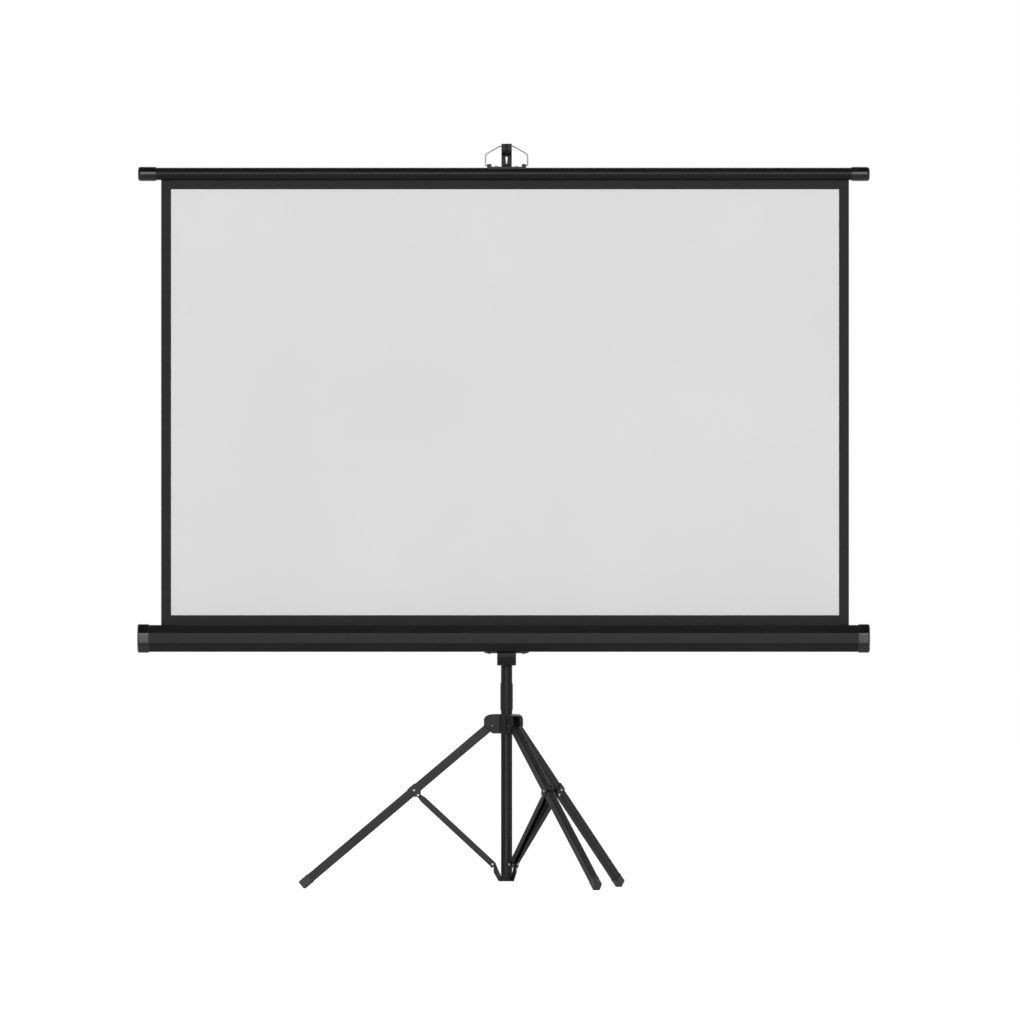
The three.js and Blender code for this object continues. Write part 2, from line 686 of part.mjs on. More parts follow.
const screwSeat = flangeBottom - FIT;
for (const [side, x] of Object.entries(screwPlaces)) {
  const profile = [
    [0, screwSeat - HEAD_HEIGHT],
    [SCREW_HEAD, screwSeat - HEAD_HEIGHT],
    [SCREW_HEAD, screwSeat],
    [SCREW_RADIUS, screwSeat],
    [SCREW_RADIUS, flangeTop + FIT + CASING_WALL + SCREW_TIP],
    [0, flangeTop + FIT + CASING_WALL + SCREW_TIP],
  ];
  const screw = turned(profile, PIN_SIDES).translate(x, casingY, 0);
  place(screen, `casing_screw_${side}`, screw, BARE_STEEL);
}

// Casing: an eight-sided extrusion, slotted along its top for the cloth
const shellLeft = casingLeft + CASING_CAP_END + FIT;
const shellRight = casingRight - CASING_CAP_END - FIT;
const shellSection = octagon(CASING_FLATS);
shellSection.holes.push(octagon(CASING_FLATS - 2 * CASING_WALL));
const shell = cut(
  alongX(shellSection, shellLeft, shellRight).translate(0, casingY, casingHeight),
  block(
    [shellLeft - CUT_MARGIN, shellRight + CUT_MARGIN],
    [clothY - CASING_SLOT / 2, clothY + CASING_SLOT / 2],
    [casingHeight, casingTop + CUT_MARGIN],
  ),
  ...screwHoles,
);
place(screen, 'casing_shell', shell, CASING_PAINT);

// End caps, each with a boss inside that holds one end of the roller
const capFlats = CASING_FLATS + 2 * (FIT + CASING_CAP_WALL);

function casingCap(shaftRadius) {
  const bossRadius = shaftRadius + FIT + CAP_BOSS_WALL;
  const rollerShift = rollerY - casingY;
  const cup = cut(
    alongX(octagon(capFlats), 0, CASING_CAP_LENGTH),
    alongX(octagon(CASING_FLATS + 2 * FIT), CASING_CAP_END, CASING_CAP_LENGTH + CUT_MARGIN),
  );
  const boss = alongX(disc(bossRadius), CASING_CAP_END - FIT, CAP_BOSS_LENGTH);
  const bore = alongX(disc(shaftRadius + FIT), CASING_CAP_END, CAP_BOSS_LENGTH + CUT_MARGIN);
  return cut(
    join(cup, boss.translate(0, rollerShift, 0)),
    bore.translate(0, rollerShift, 0),
  );
}

const leftCap = casingCap(SPRING_SHAFT_RADIUS).translate(casingLeft, casingY, casingHeight);
place(screen, 'casing_cap_left', leftCap, GLOSS_PLASTIC);
const rightCap = new THREE.Group();
rightCap.position.set(casingRight, casingY, casingHeight);
rightCap.rotation.y = Math.PI;
screen.add(rightCap);
place(rightCap, 'casing_cap_right', casingCap(IDLE_PIN_RADIUS), GLOSS_PLASTIC);

// Spring roller, in a frame with its axis along X
const roller = new THREE.Group();
roller.position.set(0, rollerY, casingHeight);
screen.add(roller);
const rollerLeft = clothLeft - ROLLER_OVERHANG;
const rollerRight = clothRight + ROLLER_OVERHANG;
const rollerBore = ROLLER_RADIUS - ROLLER_WALL;
const rollerTube = alongX(annulus(ROLLER_RADIUS, rollerBore), rollerLeft, rollerRight);
place(roller, 'roller_tube', rollerTube, INNER_STEEL);
const rollSection = annulus(clothRollRadius, ROLLER_RADIUS + FIT);
place(roller, 'cloth_roll', alongX(rollSection, clothLeft, clothRight), WHITE_CLOTH);

// A plug with a flange against the tube's end, its inner end towards +X
function rollerPlug(bore) {
  return join(
    alongX(annulus(ROLLER_RADIUS, bore), -FIT - PLUG_FLANGE, -FIT),
    alongX(annulus(rollerBore - FIT, bore), -FIT - PLUG_FLANGE, PLUG_LENGTH),
  );
}

const springPlug = rollerPlug(SPRING_SHAFT_RADIUS + FIT).translate(rollerLeft, 0, 0);
place(roller, 'spring_plug', springPlug, BLACK_PLASTIC);
const idleEnd = new THREE.Group();
idleEnd.position.x = rollerRight;
idleEnd.rotation.y = Math.PI;
roller.add(idleEnd);
place(idleEnd, 'idle_plug', rollerPlug(IDLE_PIN_RADIUS + FIT), BLACK_PLASTIC);

const shaftStart = casingLeft + CASING_CAP_END + FIT;
const shaftEnd = rollerLeft + SHAFT_REACH;
place(roller, 'spring_shaft', alongX(disc(SPRING_SHAFT_RADIUS), shaftStart, shaftEnd), INNER_STEEL);
const springBore = SPRING_SHAFT_RADIUS + FIT;
const springStart = rollerLeft + PLUG_LENGTH + FIT;
const springSection = annulus(springBore + SPRING_BUILD, springBore);
const spring = alongX(springSection, springStart, springStart + SPRING_LENGTH);
place(roller, 'torsion_spring', spring, INNER_STEEL);
const idlePinStart = rollerRight - PLUG_LENGTH;
const idlePinEnd = casingRight - CASING_CAP_END - FIT;
const idlePin = alongX(disc(IDLE_PIN_RADIUS), idlePinStart, idlePinEnd, PIN_SIDES / 2);
place(roller, 'idle_pin', idlePin, INNER_STEEL);

// Cloth from the back of the roll up into the bar's slot
const barSlotTop = barHeight - barRadius + BAR_WALL;
const cloth = block(
  [clothLeft, clothRight],
  [clothY - CLOTH_THICKNESS / 2, clothY + CLOTH_THICKNESS / 2],
  [casingHeight, barSlotTop],
);
place(screen, 'screen_cloth', cloth, WHITE_CLOTH);

// Top bar with the hem rod inside, in a frame with its axis along X
const bar = new THREE.Group();
bar.position.set(0, clothY, barHeight);
screen.add(bar);
const bailScrewPlaces = { left: -BAIL_SCREW_SPACING / 2, right: BAIL_SCREW_SPACING / 2 };
const bailScrewHoles = Object.values(bailScrewPlaces).map((x) => {
  const start = barRadius - BAR_WALL - CUT_MARGIN;
  const hole = alongZ(disc(SCREW_RADIUS + FIT), start, 2 * barRadius, PIN_SIDES / 2);
  return hole.translate(x, 0, 0);
});
const barInnerLeft = barLeft + BAR_CAP_END + FIT;
const barInnerRight = barRight - BAR_CAP_END - FIT;
const barTube = cut(
  alongX(annulus(barRadius, barRadius - BAR_WALL), barInnerLeft, barInnerRight),
  block(
    [barInnerLeft - CUT_MARGIN, barInnerRight + CUT_MARGIN],
    [-BAR_SLOT / 2, BAR_SLOT / 2],
    [-2 * barRadius, 0],
  ),
  ...bailScrewHoles,
);
place(bar, 'top_bar', barTube, CASING_PAINT);
const hemRodHeight = BAR_WALL + FIT + HEM_ROD_RADIUS - barRadius;
const hemRod = alongX(disc(HEM_ROD_RADIUS), clothLeft, clothRight, PIN_SIDES / 2);
place(bar, 'hem_rod', hemRod.translate(0, 0, hemRodHeight), BLACK_PLASTIC);

// A round cap; its closed end is at 0 and its mouth towards +X
function barCap() {
  const bore = barRadius + FIT;
  const outside = bore + BAR_CAP_WALL;
  const rounding = Array.from({ length: CORNER_STEPS * 2 + 1 }, (_, i) => {
    const angle = (i * QUARTER_TURN) / (CORNER_STEPS * 2);
    return [
      outside - BAR_CAP_ROUNDING * (1 - Math.sin(angle)),
      BAR_CAP_ROUNDING * (1 - Math.cos(angle)),
    ];
  });
  const profile = [
    [0, 0],
    ...rounding,
    [outside, BAR_CAP_LENGTH],
    [bore, BAR_CAP_LENGTH],
    [bore, BAR_CAP_END],
    [0, BAR_CAP_END],
  ];
  return turned(profile).rotateY(QUARTER_TURN);
}

place(bar, 'bar_cap_left', barCap().translate(barLeft, 0, 0), GLOSS_PLASTIC);
const rightBarEnd = new THREE.Group();
rightBarEnd.position.x = barRight;
rightBarEnd.rotation.y = Math.PI;
bar.add(rightBarEnd);
place(rightBarEnd, 'bar_cap_right', barCap(), GLOSS_PLASTIC);

// Saddle plate on the bar with a lug at each end for the bail's feet
const plateHalf = BAIL_PLATE_LENGTH / 2;
const plateTop = barRadius + BAIL_PLATE_RISE;
const pivotRise = barRadius + BAIL_PIVOT_RISE;
const plateBody = block(
  [-plateHalf, plateHalf],
  [-BAIL_PLATE_WIDTH / 2, BAIL_PLATE_WIDTH / 2],
  [barRadius / 2, plateTop],
);

function lug(start, end) {
  const shape = new THREE.Shape();
  shape.moveTo(LUG_RADIUS, barRadius);
  shape.absarc(0, pivotRise, LUG_RADIUS, 0, 2 * QUARTER_TURN);
  shape.lineTo(-LUG_RADIUS, barRadius);
  return alongX(shape, start, end, CORNER_STEPS * 2);
}

const footHole = alongX(disc(WIRE_RADIUS + FIT), -2 * plateHalf, 2 * plateHalf, WIRE_SIDES_STEPS);
const plate = cut(
  join(plateBody, lug(-plateHalf, LUG_LENGTH - plateHalf), lug(plateHalf - LUG_LENGTH, plateHalf)),
  alongX(disc(barRadius + SADDLE_FIT), -2 * plateHalf, 2 * plateHalf),
  footHole.translate(0, 0, pivotRise),
  ...bailScrewHoles,
);
place(bar, 'bail_plate', plate, TUBE_PAINT);

for (const [side, x] of Object.entries(bailScrewPlaces)) {
  const seat = plateTop + SADDLE_FIT;
  const profile = [
    [0, barRadius - BAR_WALL - SADDLE_FIT],
    [SCREW_RADIUS, barRadius - BAR_WALL - SADDLE_FIT],
    [SCREW_RADIUS, seat],
    [SCREW_HEAD, seat],
    [SCREW_HEAD, seat + HEAD_HEIGHT / 2],
    [0, seat + HEAD_HEIGHT],
  ];
  place(bar, `bail_screw_${side}`, turned(profile, PIN_SIDES).translate(x, 0, 0), BARE_STEEL);
}

// Wire bail: feet turned in through the lugs, straight legs, slanted shoulders and a level top
const bailHalf = plateHalf + BAIL_CLEARANCE + WIRE_RADIUS;
const footStart = plateHalf - LUG_LENGTH;
const shoulder = bailPivotHeight + BAIL_LEG_LENGTH;
const topHalf = BAIL_TOP_WIDTH / 2;
const shoulderSlope = Math.atan2(bailTop - shoulder, bailHalf - topHalf);
const halfBail = [
  [footStart, bailPivotHeight],
  [bailHalf - BAIL_BEND, bailPivotHeight],
  [bailHalf - BAIL_BEND / 4, bailPivotHeight + BAIL_BEND / 4],
  [bailHalf, bailPivotHeight + BAIL_BEND],
  [bailHalf, (bailPivotHeight + shoulder) / 2],
  [bailHalf, shoulder - BAIL_BEND],
  [bailHalf - BAIL_BEND * Math.cos(shoulderSlope), shoulder + BAIL_BEND * Math.sin(shoulderSlope)],
  [topHalf + BAIL_BEND * Math.cos(shoulderSlope), bailTop - BAIL_BEND * Math.sin(shoulderSlope)],
  [topHalf - BAIL_BEND, bailTop],
];
const bailPoints = [
  ...halfBail.map(([x, z]) => new THREE.Vector3(-x, clothY, z)),
  ...halfBail.reverse().map(([x, z]) => new THREE.Vector3(x, clothY, z)),
];
const bailPath = new THREE.CatmullRomCurve3(bailPoints, false, 'centripetal');
const bail = new THREE.ExtrudeGeometry(disc(WIRE_RADIUS), {
  steps: WIRE_STEPS,
  extrudePath: bailPath,
  curveSegments: WIRE_SIDES_STEPS,
});
place(screen, 'wire_bail', bail, BARE_STEEL);

// Extension tube and the hook block on its top end
const extensionBottom = mastTop - EXTENSION_OVERLAP;
const extensionTop = hookBottom - FIT;
const extension = alongZ(annulus(extensionRadius, extensionBore), extensionBottom, extensionTop);
place(screen, 'extension_tube', extension, TUBE_PAINT);

const neckHalf = HOOK_WIDTH / 2;
const notchBack = clothY + HOOK_NOTCH / 2;
const notchFront = clothY - HOOK_NOTCH / 2;
const lipFront = notchFront - HOOK_LIP_THICKNESS;
const armBottom = notchHeight - HOOK_ARM;
const hookSide = outline([
  [neckHalf, hookBottom],
  [neckHalf, hookTop - HOOK_CHAMFER],
  [neckHalf - HOOK_CHAMFER, hookTop],
  [notchBack, hookTop],
  [notchBack, notchHeight],
  [notchFront, notchHeight],
  [notchFront, hookTop],
  [lipFront, hookTop],
  [lipFront, notchHeight - HOOK_LIP],
  [notchFront, armBottom],
  [-neckHalf - HOOK_CHAMFER, armBottom],
  [-neckHalf, armBottom - HOOK_CHAMFER],
  [-neckHalf, hookBottom],
]);
const windowBottom = hookBottom + WINDOW_SILL;
const hookWindow = outline([
  [-WINDOW_FOOT_WIDTH / 2, windowBottom],
  [WINDOW_FOOT_WIDTH / 2, windowBottom],
  [WINDOW_TOP_WIDTH / 2, windowBottom + WINDOW_HEIGHT],
  [-WINDOW_TOP_WIDTH / 2, windowBottom + WINDOW_HEIGHT],
]);
const groove = block(
  [-GROOVE_WIDTH / 2, GROOVE_WIDTH / 2],
  [lipFront - CUT_MARGIN, lipFront + GROOVE_DEPTH],
  [armBottom - CUT_MARGIN, hookTop - GROOVE_WIDTH],
);
const spigot = alongZ(disc(extensionBore - FIT), hookBottom - HOOK_SPIGOT, hookBottom + FIT);
const hook = cut(
  join(alongX(hookSide, -neckHalf, neckHalf), spigot),
  alongY(hookWindow, -HOOK_WIDTH, HOOK_WIDTH),
  groove,
);
place(screen, 'hook_head', hook, BLACK_PLASTIC);

// The origin is on the floor under the middle of the whole outline
const extent = new THREE.Box3().setFromObject(screen, true);
const middle = extent.getCenter(new THREE.Vector3());
screen.position.set(-middle.x, -middle.y, 0);

export default screen;
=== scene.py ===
import json
import math

import bmesh
import bpy
import numpy as np
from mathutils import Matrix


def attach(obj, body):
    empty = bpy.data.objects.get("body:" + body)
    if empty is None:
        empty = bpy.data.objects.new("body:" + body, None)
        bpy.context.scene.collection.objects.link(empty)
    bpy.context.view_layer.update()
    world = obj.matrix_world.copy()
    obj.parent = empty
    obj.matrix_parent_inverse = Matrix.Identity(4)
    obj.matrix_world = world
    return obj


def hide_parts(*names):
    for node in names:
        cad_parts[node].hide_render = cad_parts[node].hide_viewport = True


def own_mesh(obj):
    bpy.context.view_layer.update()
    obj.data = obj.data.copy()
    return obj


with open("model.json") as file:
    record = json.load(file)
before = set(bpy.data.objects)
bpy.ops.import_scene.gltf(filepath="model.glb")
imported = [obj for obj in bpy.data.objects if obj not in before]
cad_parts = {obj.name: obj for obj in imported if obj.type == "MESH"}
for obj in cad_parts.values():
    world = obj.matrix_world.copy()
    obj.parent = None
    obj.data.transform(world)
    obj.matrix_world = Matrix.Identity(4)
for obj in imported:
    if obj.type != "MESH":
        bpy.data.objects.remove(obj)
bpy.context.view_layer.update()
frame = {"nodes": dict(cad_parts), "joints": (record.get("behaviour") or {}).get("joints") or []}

# Centre post: a drawn steel tube that stands in the spider and slides inside the mast.
# It is bare metal, bright from the draw, and only its foot shows until the legs fold.
MM = 0.001
X, Y, Z = np.eye(3)


def extent(node, origin=(0, 0, 0), axes=np.eye(3)):
    """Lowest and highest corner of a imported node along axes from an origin, in millimetres."""
    mesh = frame["nodes"][node].data
    points = np.empty(len(mesh.vertices) * 3)
    mesh.vertices.foreach_get("co", points)
    local = (points.reshape(-1, 3) / MM - origin) @ np.transpose(axes)
    return local.min(axis=0), local.max(axis=0)


def rounded(corners, radius, steps=3):
    """A closed outline whose corners become quadratic curves that reach radius to each side."""
    corners = np.asarray(corners, float)
    before = np.roll(corners, 1, axis=0) - corners
    after = np.roll(corners, -1, axis=0) - corners
    reach = np.broadcast_to(radius, len(corners))[:, None]
    start = corners + reach * before / np.linalg.norm(before, axis=1, keepdims=True)
    end = corners + reach * after / np.linalg.norm(after, axis=1, keepdims=True)
    t = np.linspace(0, 1, steps + 1)[:, None, None]
    curves = (1 - t) ** 2 * start + 2 * t * (1 - t) * corners + t**2 * end
    return curves.transpose(1, 0, 2).reshape(-1, 2)


def turned(profile, sides=64):
    """Rings of a profile of (radius, height) points turned about the third axis."""
    profile = np.asarray(profile, float)
    angle = np.arange(sides) * 2 * math.pi / sides
    radius = profile[:, :1]
    height = np.broadcast_to(profile[:, 1:], (len(profile), sides))
    return np.stack([radius * np.cos(angle), radius * np.sin(angle), height], axis=-1)


def placed(rings, origin, u, v, w):
    """Rings in their own axes set at an origin along the axes u, v and w."""
    return np.asarray(origin) + rings @ np.stack([u, v, w])


def skin(rings, *place, loop=False):
    """A closed shell of rings in their place, joined by quads.
    Both end rings are filled, or joined to each other where the rings go round a hollow."""
    if place:
        rings = placed(rings, *place)
    count, size, _ = rings.shape
    index = np.arange(count * size).reshape(count, size)
    near = index if loop else index[:-1]
    far = np.roll(index, -1, axis=0) if loop else index[1:]
    quads = np.stack([near, np.roll(near, -1, 1), np.roll(far, -1, 1), far], axis=-1)
    blocks = [quads.reshape(-1, 4)]
    if not loop:
        blocks += [index[:1, ::-1], index[-1:]]
    return rings.reshape(-1, 3), blocks


def linked(name, data):
    """A new object at the origin, put in the scene."""
    made = bpy.data.objects.new(name, data)
    bpy.context.scene.collection.objects.link(made)
    return made


def piece(name, body, material, shells, node, crease=32):
    """One object at the origin made of closed shells in millimetres.
    It is smooth but for its creases, and its flat faces shade flat beside their eased corners."""
    faces, start = [], 0
    for points, blocks in shells:
        for block in blocks:
            faces += (block + start).tolist()
        start += len(points)
    mesh = bpy.data.meshes.new(name)
    mesh.from_pydata(np.vstack([points for points, _ in shells]) * MM, [], faces)
    shaped = bmesh.new()
    shaped.from_mesh(mesh)
    bmesh.ops.recalc_face_normals(shaped, faces=shaped.faces)
    shaped.to_mesh(mesh)
    shaped.free()
    mesh.shade_smooth()
    mesh.set_sharp_from_angle(angle=math.radians(crease))
    mesh.materials.append(material)
    made = linked(name, mesh)
    made.modifiers.new("flat_faces_shade_flat", "WEIGHTED_NORMAL").keep_sharp = True
    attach(made, body)
    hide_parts(node)
    return made


def feed(tree, node, sockets):
    """Sets named inputs of a node to constants, or joins them to other nodes' outputs."""
    for key, value in sockets.items():
        if isinstance(value, bpy.types.NodeSocket):
            tree.links.new(value, node.inputs[key])
        else:
            node.inputs[key].default_value = value


def add(tree, kind, sockets=None, **settings):
    """A new shader node with its own settings and its inputs fed, as its outputs."""
    made = tree.nodes.new(f"ShaderNode{kind}")
    for key, value in settings.items():
        setattr(made, key, value)
    feed(tree, made, sockets or {})
    return made.outputs


def maths(tree, operation, *values):
    """The result of one operation on constants or outputs."""
    return add(tree, "Math", dict(enumerate(values)), operation=operation)["Value"]


def mixed(tree, factor, a, b):
    """The colour that lies between a and b by a factor."""
    return add(tree, "Mix", {"Factor": factor, "A": a, "B": b}, data_type="RGBA")["Result"]


def group_of(name, inputs, outputs):
    """A shader group with float sockets, the sockets that bring its inputs, and its output node."""
    group = bpy.data.node_groups.new(name, "ShaderNodeTree")
    for way, labels in (("INPUT", inputs), ("OUTPUT", outputs)):
        for label in labels:
            group.interface.new_socket(label, in_out=way, socket_type="NodeSocketFloat")
    return group, group.nodes.new("NodeGroupInput").outputs, group.nodes.new("NodeGroupOutput")


def grain_group():
    """Soft clouds and a fine grain: noises on Object coordinates, stretched to run from 0 to 1."""
    scales, masks = ["Cloud Scale", "Grain Scale"], ["Cloud", "Grain"]
    group, given, result = group_of("surface_grain", scales, masks)
    place = add(group, "TexCoord")["Object"]
    for label, detail in (("Cloud", 4.0), ("Grain", 2.0)):
        settings = {"Vector": place, "Scale": given[f"{label} Scale"], "Detail": detail}
        noise = add(group, "TexNoise", settings)["Fac"]
        stretched = add(group, "MapRange", {"Value": noise, "From Min": 0.3, "From Max": 0.7})
        feed(group, result, {label: stretched["Result"]})
    return group


def dust_group():
    """A mask of settled dust: faces that look up, broken by a noise on Object coordinates."""
    group, given, result = group_of("settled_dust", ["Amount"], ["Dust"])
    facing = add(group, "SeparateXYZ", {"Vector": add(group, "NewGeometry")["Normal"]})
    upward = add(group, "MapRange", {"Value": facing["Z"], "From Min": 0.3})["Result"]
    place = add(group, "TexCoord")["Object"]
    broken = add(group, "TexNoise", {"Vector": place, "Scale": 45.0, "Detail": 6.0})["Fac"]
    settled = maths(group, "MULTIPLY", upward, broken)
    feed(group, result, {"Dust": maths(group, "MULTIPLY", settled, given["Amount"])})
    return group


surface_grain = grain_group()
settled_dust = dust_group()
DUST_COLOUR = (0.3, 0.29, 0.28, 1)


def new_material(name):
    """An empty material; returns it with its node tree and its Principled shader."""
    material = bpy.data.materials.new(name)
    material.use_nodes = True
    return material, material.node_tree, material.node_tree.nodes["Principled BSDF"]


def finish(name, dark, light, roughness, cloud, grain, relief, metallic=0, specular=0.5, dust=0):
    """A finish that runs from dark to light with the clouds, and so does its roughness.
    Cloud and grain are the noises' sizes in millimetres, relief the grain's height in microns."""
    material, tree, shader = new_material(name)
    scales = {"Cloud Scale": 1 / (cloud * MM), "Grain Scale": 1 / (grain * MM)}
    noises = add(tree, "Group", scales, node_tree=surface_grain)
    tone = mixed(tree, noises["Cloud"], (*dark, 1), (*light, 1))
    layer = add(tree, "Group", {"Amount": dust}, node_tree=settled_dust)["Dust"]
    between = {"Value": noises["Cloud"], "To Min": roughness[0], "To Max": roughness[1]}
    bump = add(tree, "Bump", {"Height": noises["Grain"], "Distance": relief * MM * MM})
    feed(tree, shader, {
        "Base Color": mixed(tree, layer, tone, DUST_COLOUR),
        "Metallic": metallic,
        "Roughness": add(tree, "MapRange", between)["Result"],
        "Specular IOR Level": specular,
        "Normal": bump["Normal"],
    })
    return material


def dress(material, *nodes):
    """Gives a material to CAD nodes that keep their own shape."""
    for node in nodes:
        slots = frame["nodes"][node].data.materials
        slots.clear()
        slots.append(material)


drawn_steel = finish("drawn_steel", (0.3, 0.3, 0.31), (0.42, 0.42, 0.43), (0.28, 0.44),
                     cloud=40, grain=0.8, relief=8, metallic=1.0)
dress(drawn_steel, "roller_tube", "spring_shaft", "torsion_spring", "idle_pin")

post_low, post_high = extent("centre_post")
mast_x, mast_y, _ = (post_low + post_high) / 2
mast_foot = np.array([mast_x, mast_y, 0])
post_radius = (post_high - post_low)[0] / 2
POST_WALL = 1.5


def pipe(outer, inner, low, high, ease=0.4):
    """A tube about the mast's axis: an eased rectangle of wall turned all the way round."""
    wall = rounded([(inner, low), (outer, low), (outer, high), (inner, high)], ease)
    return skin(turned(wall), mast_foot, X, Y, Z, loop=True)


post_tube = pipe(post_radius, post_radius - POST_WALL, post_low[2], post_high[2])
piece("drawn_post", "base", drawn_steel, [post_tube], "centre_post")

# Spider: a moulded black collar fixed on the post's foot, with a pair of ears for each brace.
# The braces' pins drop into slots in the ears from below, so the braces can be lifted off.
moulded_black = finish("moulded_black", (0.008, 0.008, 0.0085), (0.013, 0.013, 0.0135), (0.4, 0.54),
                       cloud=25, grain=0.6, relief=45, specular=0.16, dust=0.012)
CLEARANCE = 0.3
SPIDER_TOP = 29.6
SPIDER_PIVOT = np.array([32.0, 56.0])
SPIDER_WALL = 2.6
EAR_ROOT = 1.0
EAR_RADIUS = 7.0
EAR_ARC_START = -18
EAR_HEEL = 18.0
EAR_THICKNESS = 2.5
EAR_GAP = 12.6
PIN_SLOT = 2.3
SIDES = ("left", "front", "back")
joints = {joint["name"]: joint for joint in frame["joints"]}


def arc(centre, radius, start, end, steps=12):
    """Points of a circular arc between two angles in degrees."""
    angle = np.radians(np.linspace(start, end, steps + 1))
    return np.asarray(centre) + radius * np.c_[np.cos(angle), np.sin(angle)]


def carried(outline, along, inset=0.0, scale=1.0):
    """Rings of an outline carried along the third axis, drawn in along its normals by inset
    and shrunk about its origin by scale at each station."""
    outline = np.asarray(outline, float)
    along = np.asarray(along, float)
    tangent = np.roll(outline, -1, axis=0) - np.roll(outline, 1, axis=0)
    normal = np.c_[tangent[:, 1], -tangent[:, 0]]
    normal /= np.linalg.norm(normal, axis=1, keepdims=True)
    turn = np.sign((outline[:, 0] * tangent[:, 1] - outline[:, 1] * tangent[:, 0]).sum())
    inset = np.broadcast_to(inset, along.shape)[:, None, None]
    scale = np.broadcast_to(scale, along.shape)[:, None, None]
    flat = outline * scale - turn * normal * inset
    height = np.broadcast_to(along[:, None, None], (*flat.shape[:2], 1))
    return np.concatenate([flat, height], axis=-1)


def slab(outline, low, high, low_edge=0.4, high_edge=None, steps=3):
    """An outline carried from low to high, its rims eased by quarter circles."""
    high_edge = low_edge if high_edge is None else high_edge
    angle = np.linspace(0, math.pi / 2, steps + 1)
    drawn, run = 1 - np.sin(angle), 1 - np.cos(angle)
    along = np.r_[low + low_edge * run, (high - high_edge * run)[::-1]]
    inset = np.r_[low_edge * drawn, (high_edge * drawn)[::-1]]
    return carried(outline, along, inset)


def both_sides(rings, origin, u, v, w):
    """Two closed shells: rings in their place, and their mirror image along the third axis."""
    return [skin(rings, origin, u, v, sign * w) for sign in (-1, 1)]


class Spoke:
    """The upright plane of one leg: its outward and sideways axes, and its three pivots."""

    def __init__(self, side):
        self.leg, self.brace, self.side = f"leg_{side}", f"brace_{side}", side
        self.across = np.array(joints[f"{self.leg}_fold"]["axis"])
        self.out = np.cross(self.across, Z)
        self.hub = np.array(joints[f"{self.leg}_fold"]["pos_m"]) / MM
        self.clip = np.array(joints[f"{self.brace}_fold"]["pos_m"]) / MM
        self.foot = mast_foot + SPIDER_PIVOT[0] * self.out + SPIDER_PIVOT[1] * Z


spokes = [Spoke(side) for side in SIDES]
spider_low = extent("brace_spider")[0][2]
ear_run = (SPIDER_PIVOT[1] - PIN_SLOT - spider_low) / (SPIDER_PIVOT[0] + EAR_RADIUS - EAR_HEEL)
slot_in, slot_out = SPIDER_PIVOT[0] - PIN_SLOT, SPIDER_PIVOT[0] + PIN_SLOT
root = post_radius + EAR_ROOT
ear = np.vstack([
    [(root, spider_low), (EAR_HEEL, spider_low)],
    [(slot_in, spider_low + ear_run * (slot_in - EAR_HEEL))],
    arc(SPIDER_PIVOT, PIN_SLOT, 180, 0),
    [(slot_out, spider_low + ear_run * (slot_out - EAR_HEEL))],
    arc(SPIDER_PIVOT, EAR_RADIUS, EAR_ARC_START, 180),
    [(root + EAR_ROOT, SPIDER_TOP), (root, SPIDER_TOP)],
])
spider_bore = post_radius + CLEARANCE
spider_shells = [pipe(spider_bore + SPIDER_WALL, spider_bore, spider_low, SPIDER_TOP, 0.8)]
plate = slab(ear, EAR_GAP / 2, EAR_GAP / 2 + EAR_THICKNESS, 0.5)
for spoke in spokes:
    spider_shells += both_sides(plate, mast_foot, spoke.out, Z, spoke.across)
piece("moulded_spider", "base", moulded_black, spider_shells, "brace_spider")

# Legs: rectangular steel tubes in satin black powder coat, hinged in the hub on rivets.
# Each runs down at forty degrees, and its lower end is pushed into a foot.
tube_paint = finish("tube_paint", (0.004, 0.004, 0.0045), (0.008, 0.008, 0.0085), (0.3, 0.42),
                    cloud=60, grain=1.1, relief=30, specular=0.16, dust=0.012)
LEG_SLOPE = math.radians(40.15)
LEG_CORNER = 2.0


def box_outline(low, high, corner, steps=5):
    """A rectangle between two corners with its own corners rounded."""
    (x0, y0), (x1, y1) = low, high
    return rounded([(x0, y0), (x1, y0), (x1, y1), (x0, y1)], corner, steps)


for spoke in spokes:
    down = math.cos(LEG_SLOPE) * spoke.out - math.sin(LEG_SLOPE) * Z
    upper = math.sin(LEG_SLOPE) * spoke.out + math.cos(LEG_SLOPE) * Z
    spoke.leg_axes = (spoke.across, upper, down)
    low, high = extent(spoke.leg, spoke.hub, spoke.leg_axes)
    tube = slab(box_outline(low[:2], high[:2], LEG_CORNER), low[2], high[2], 0.3)
    shells = [skin(tube, spoke.hub, *spoke.leg_axes)]
    piece(f"painted_{spoke.leg}", spoke.leg, tube_paint, shells, spoke.leg)

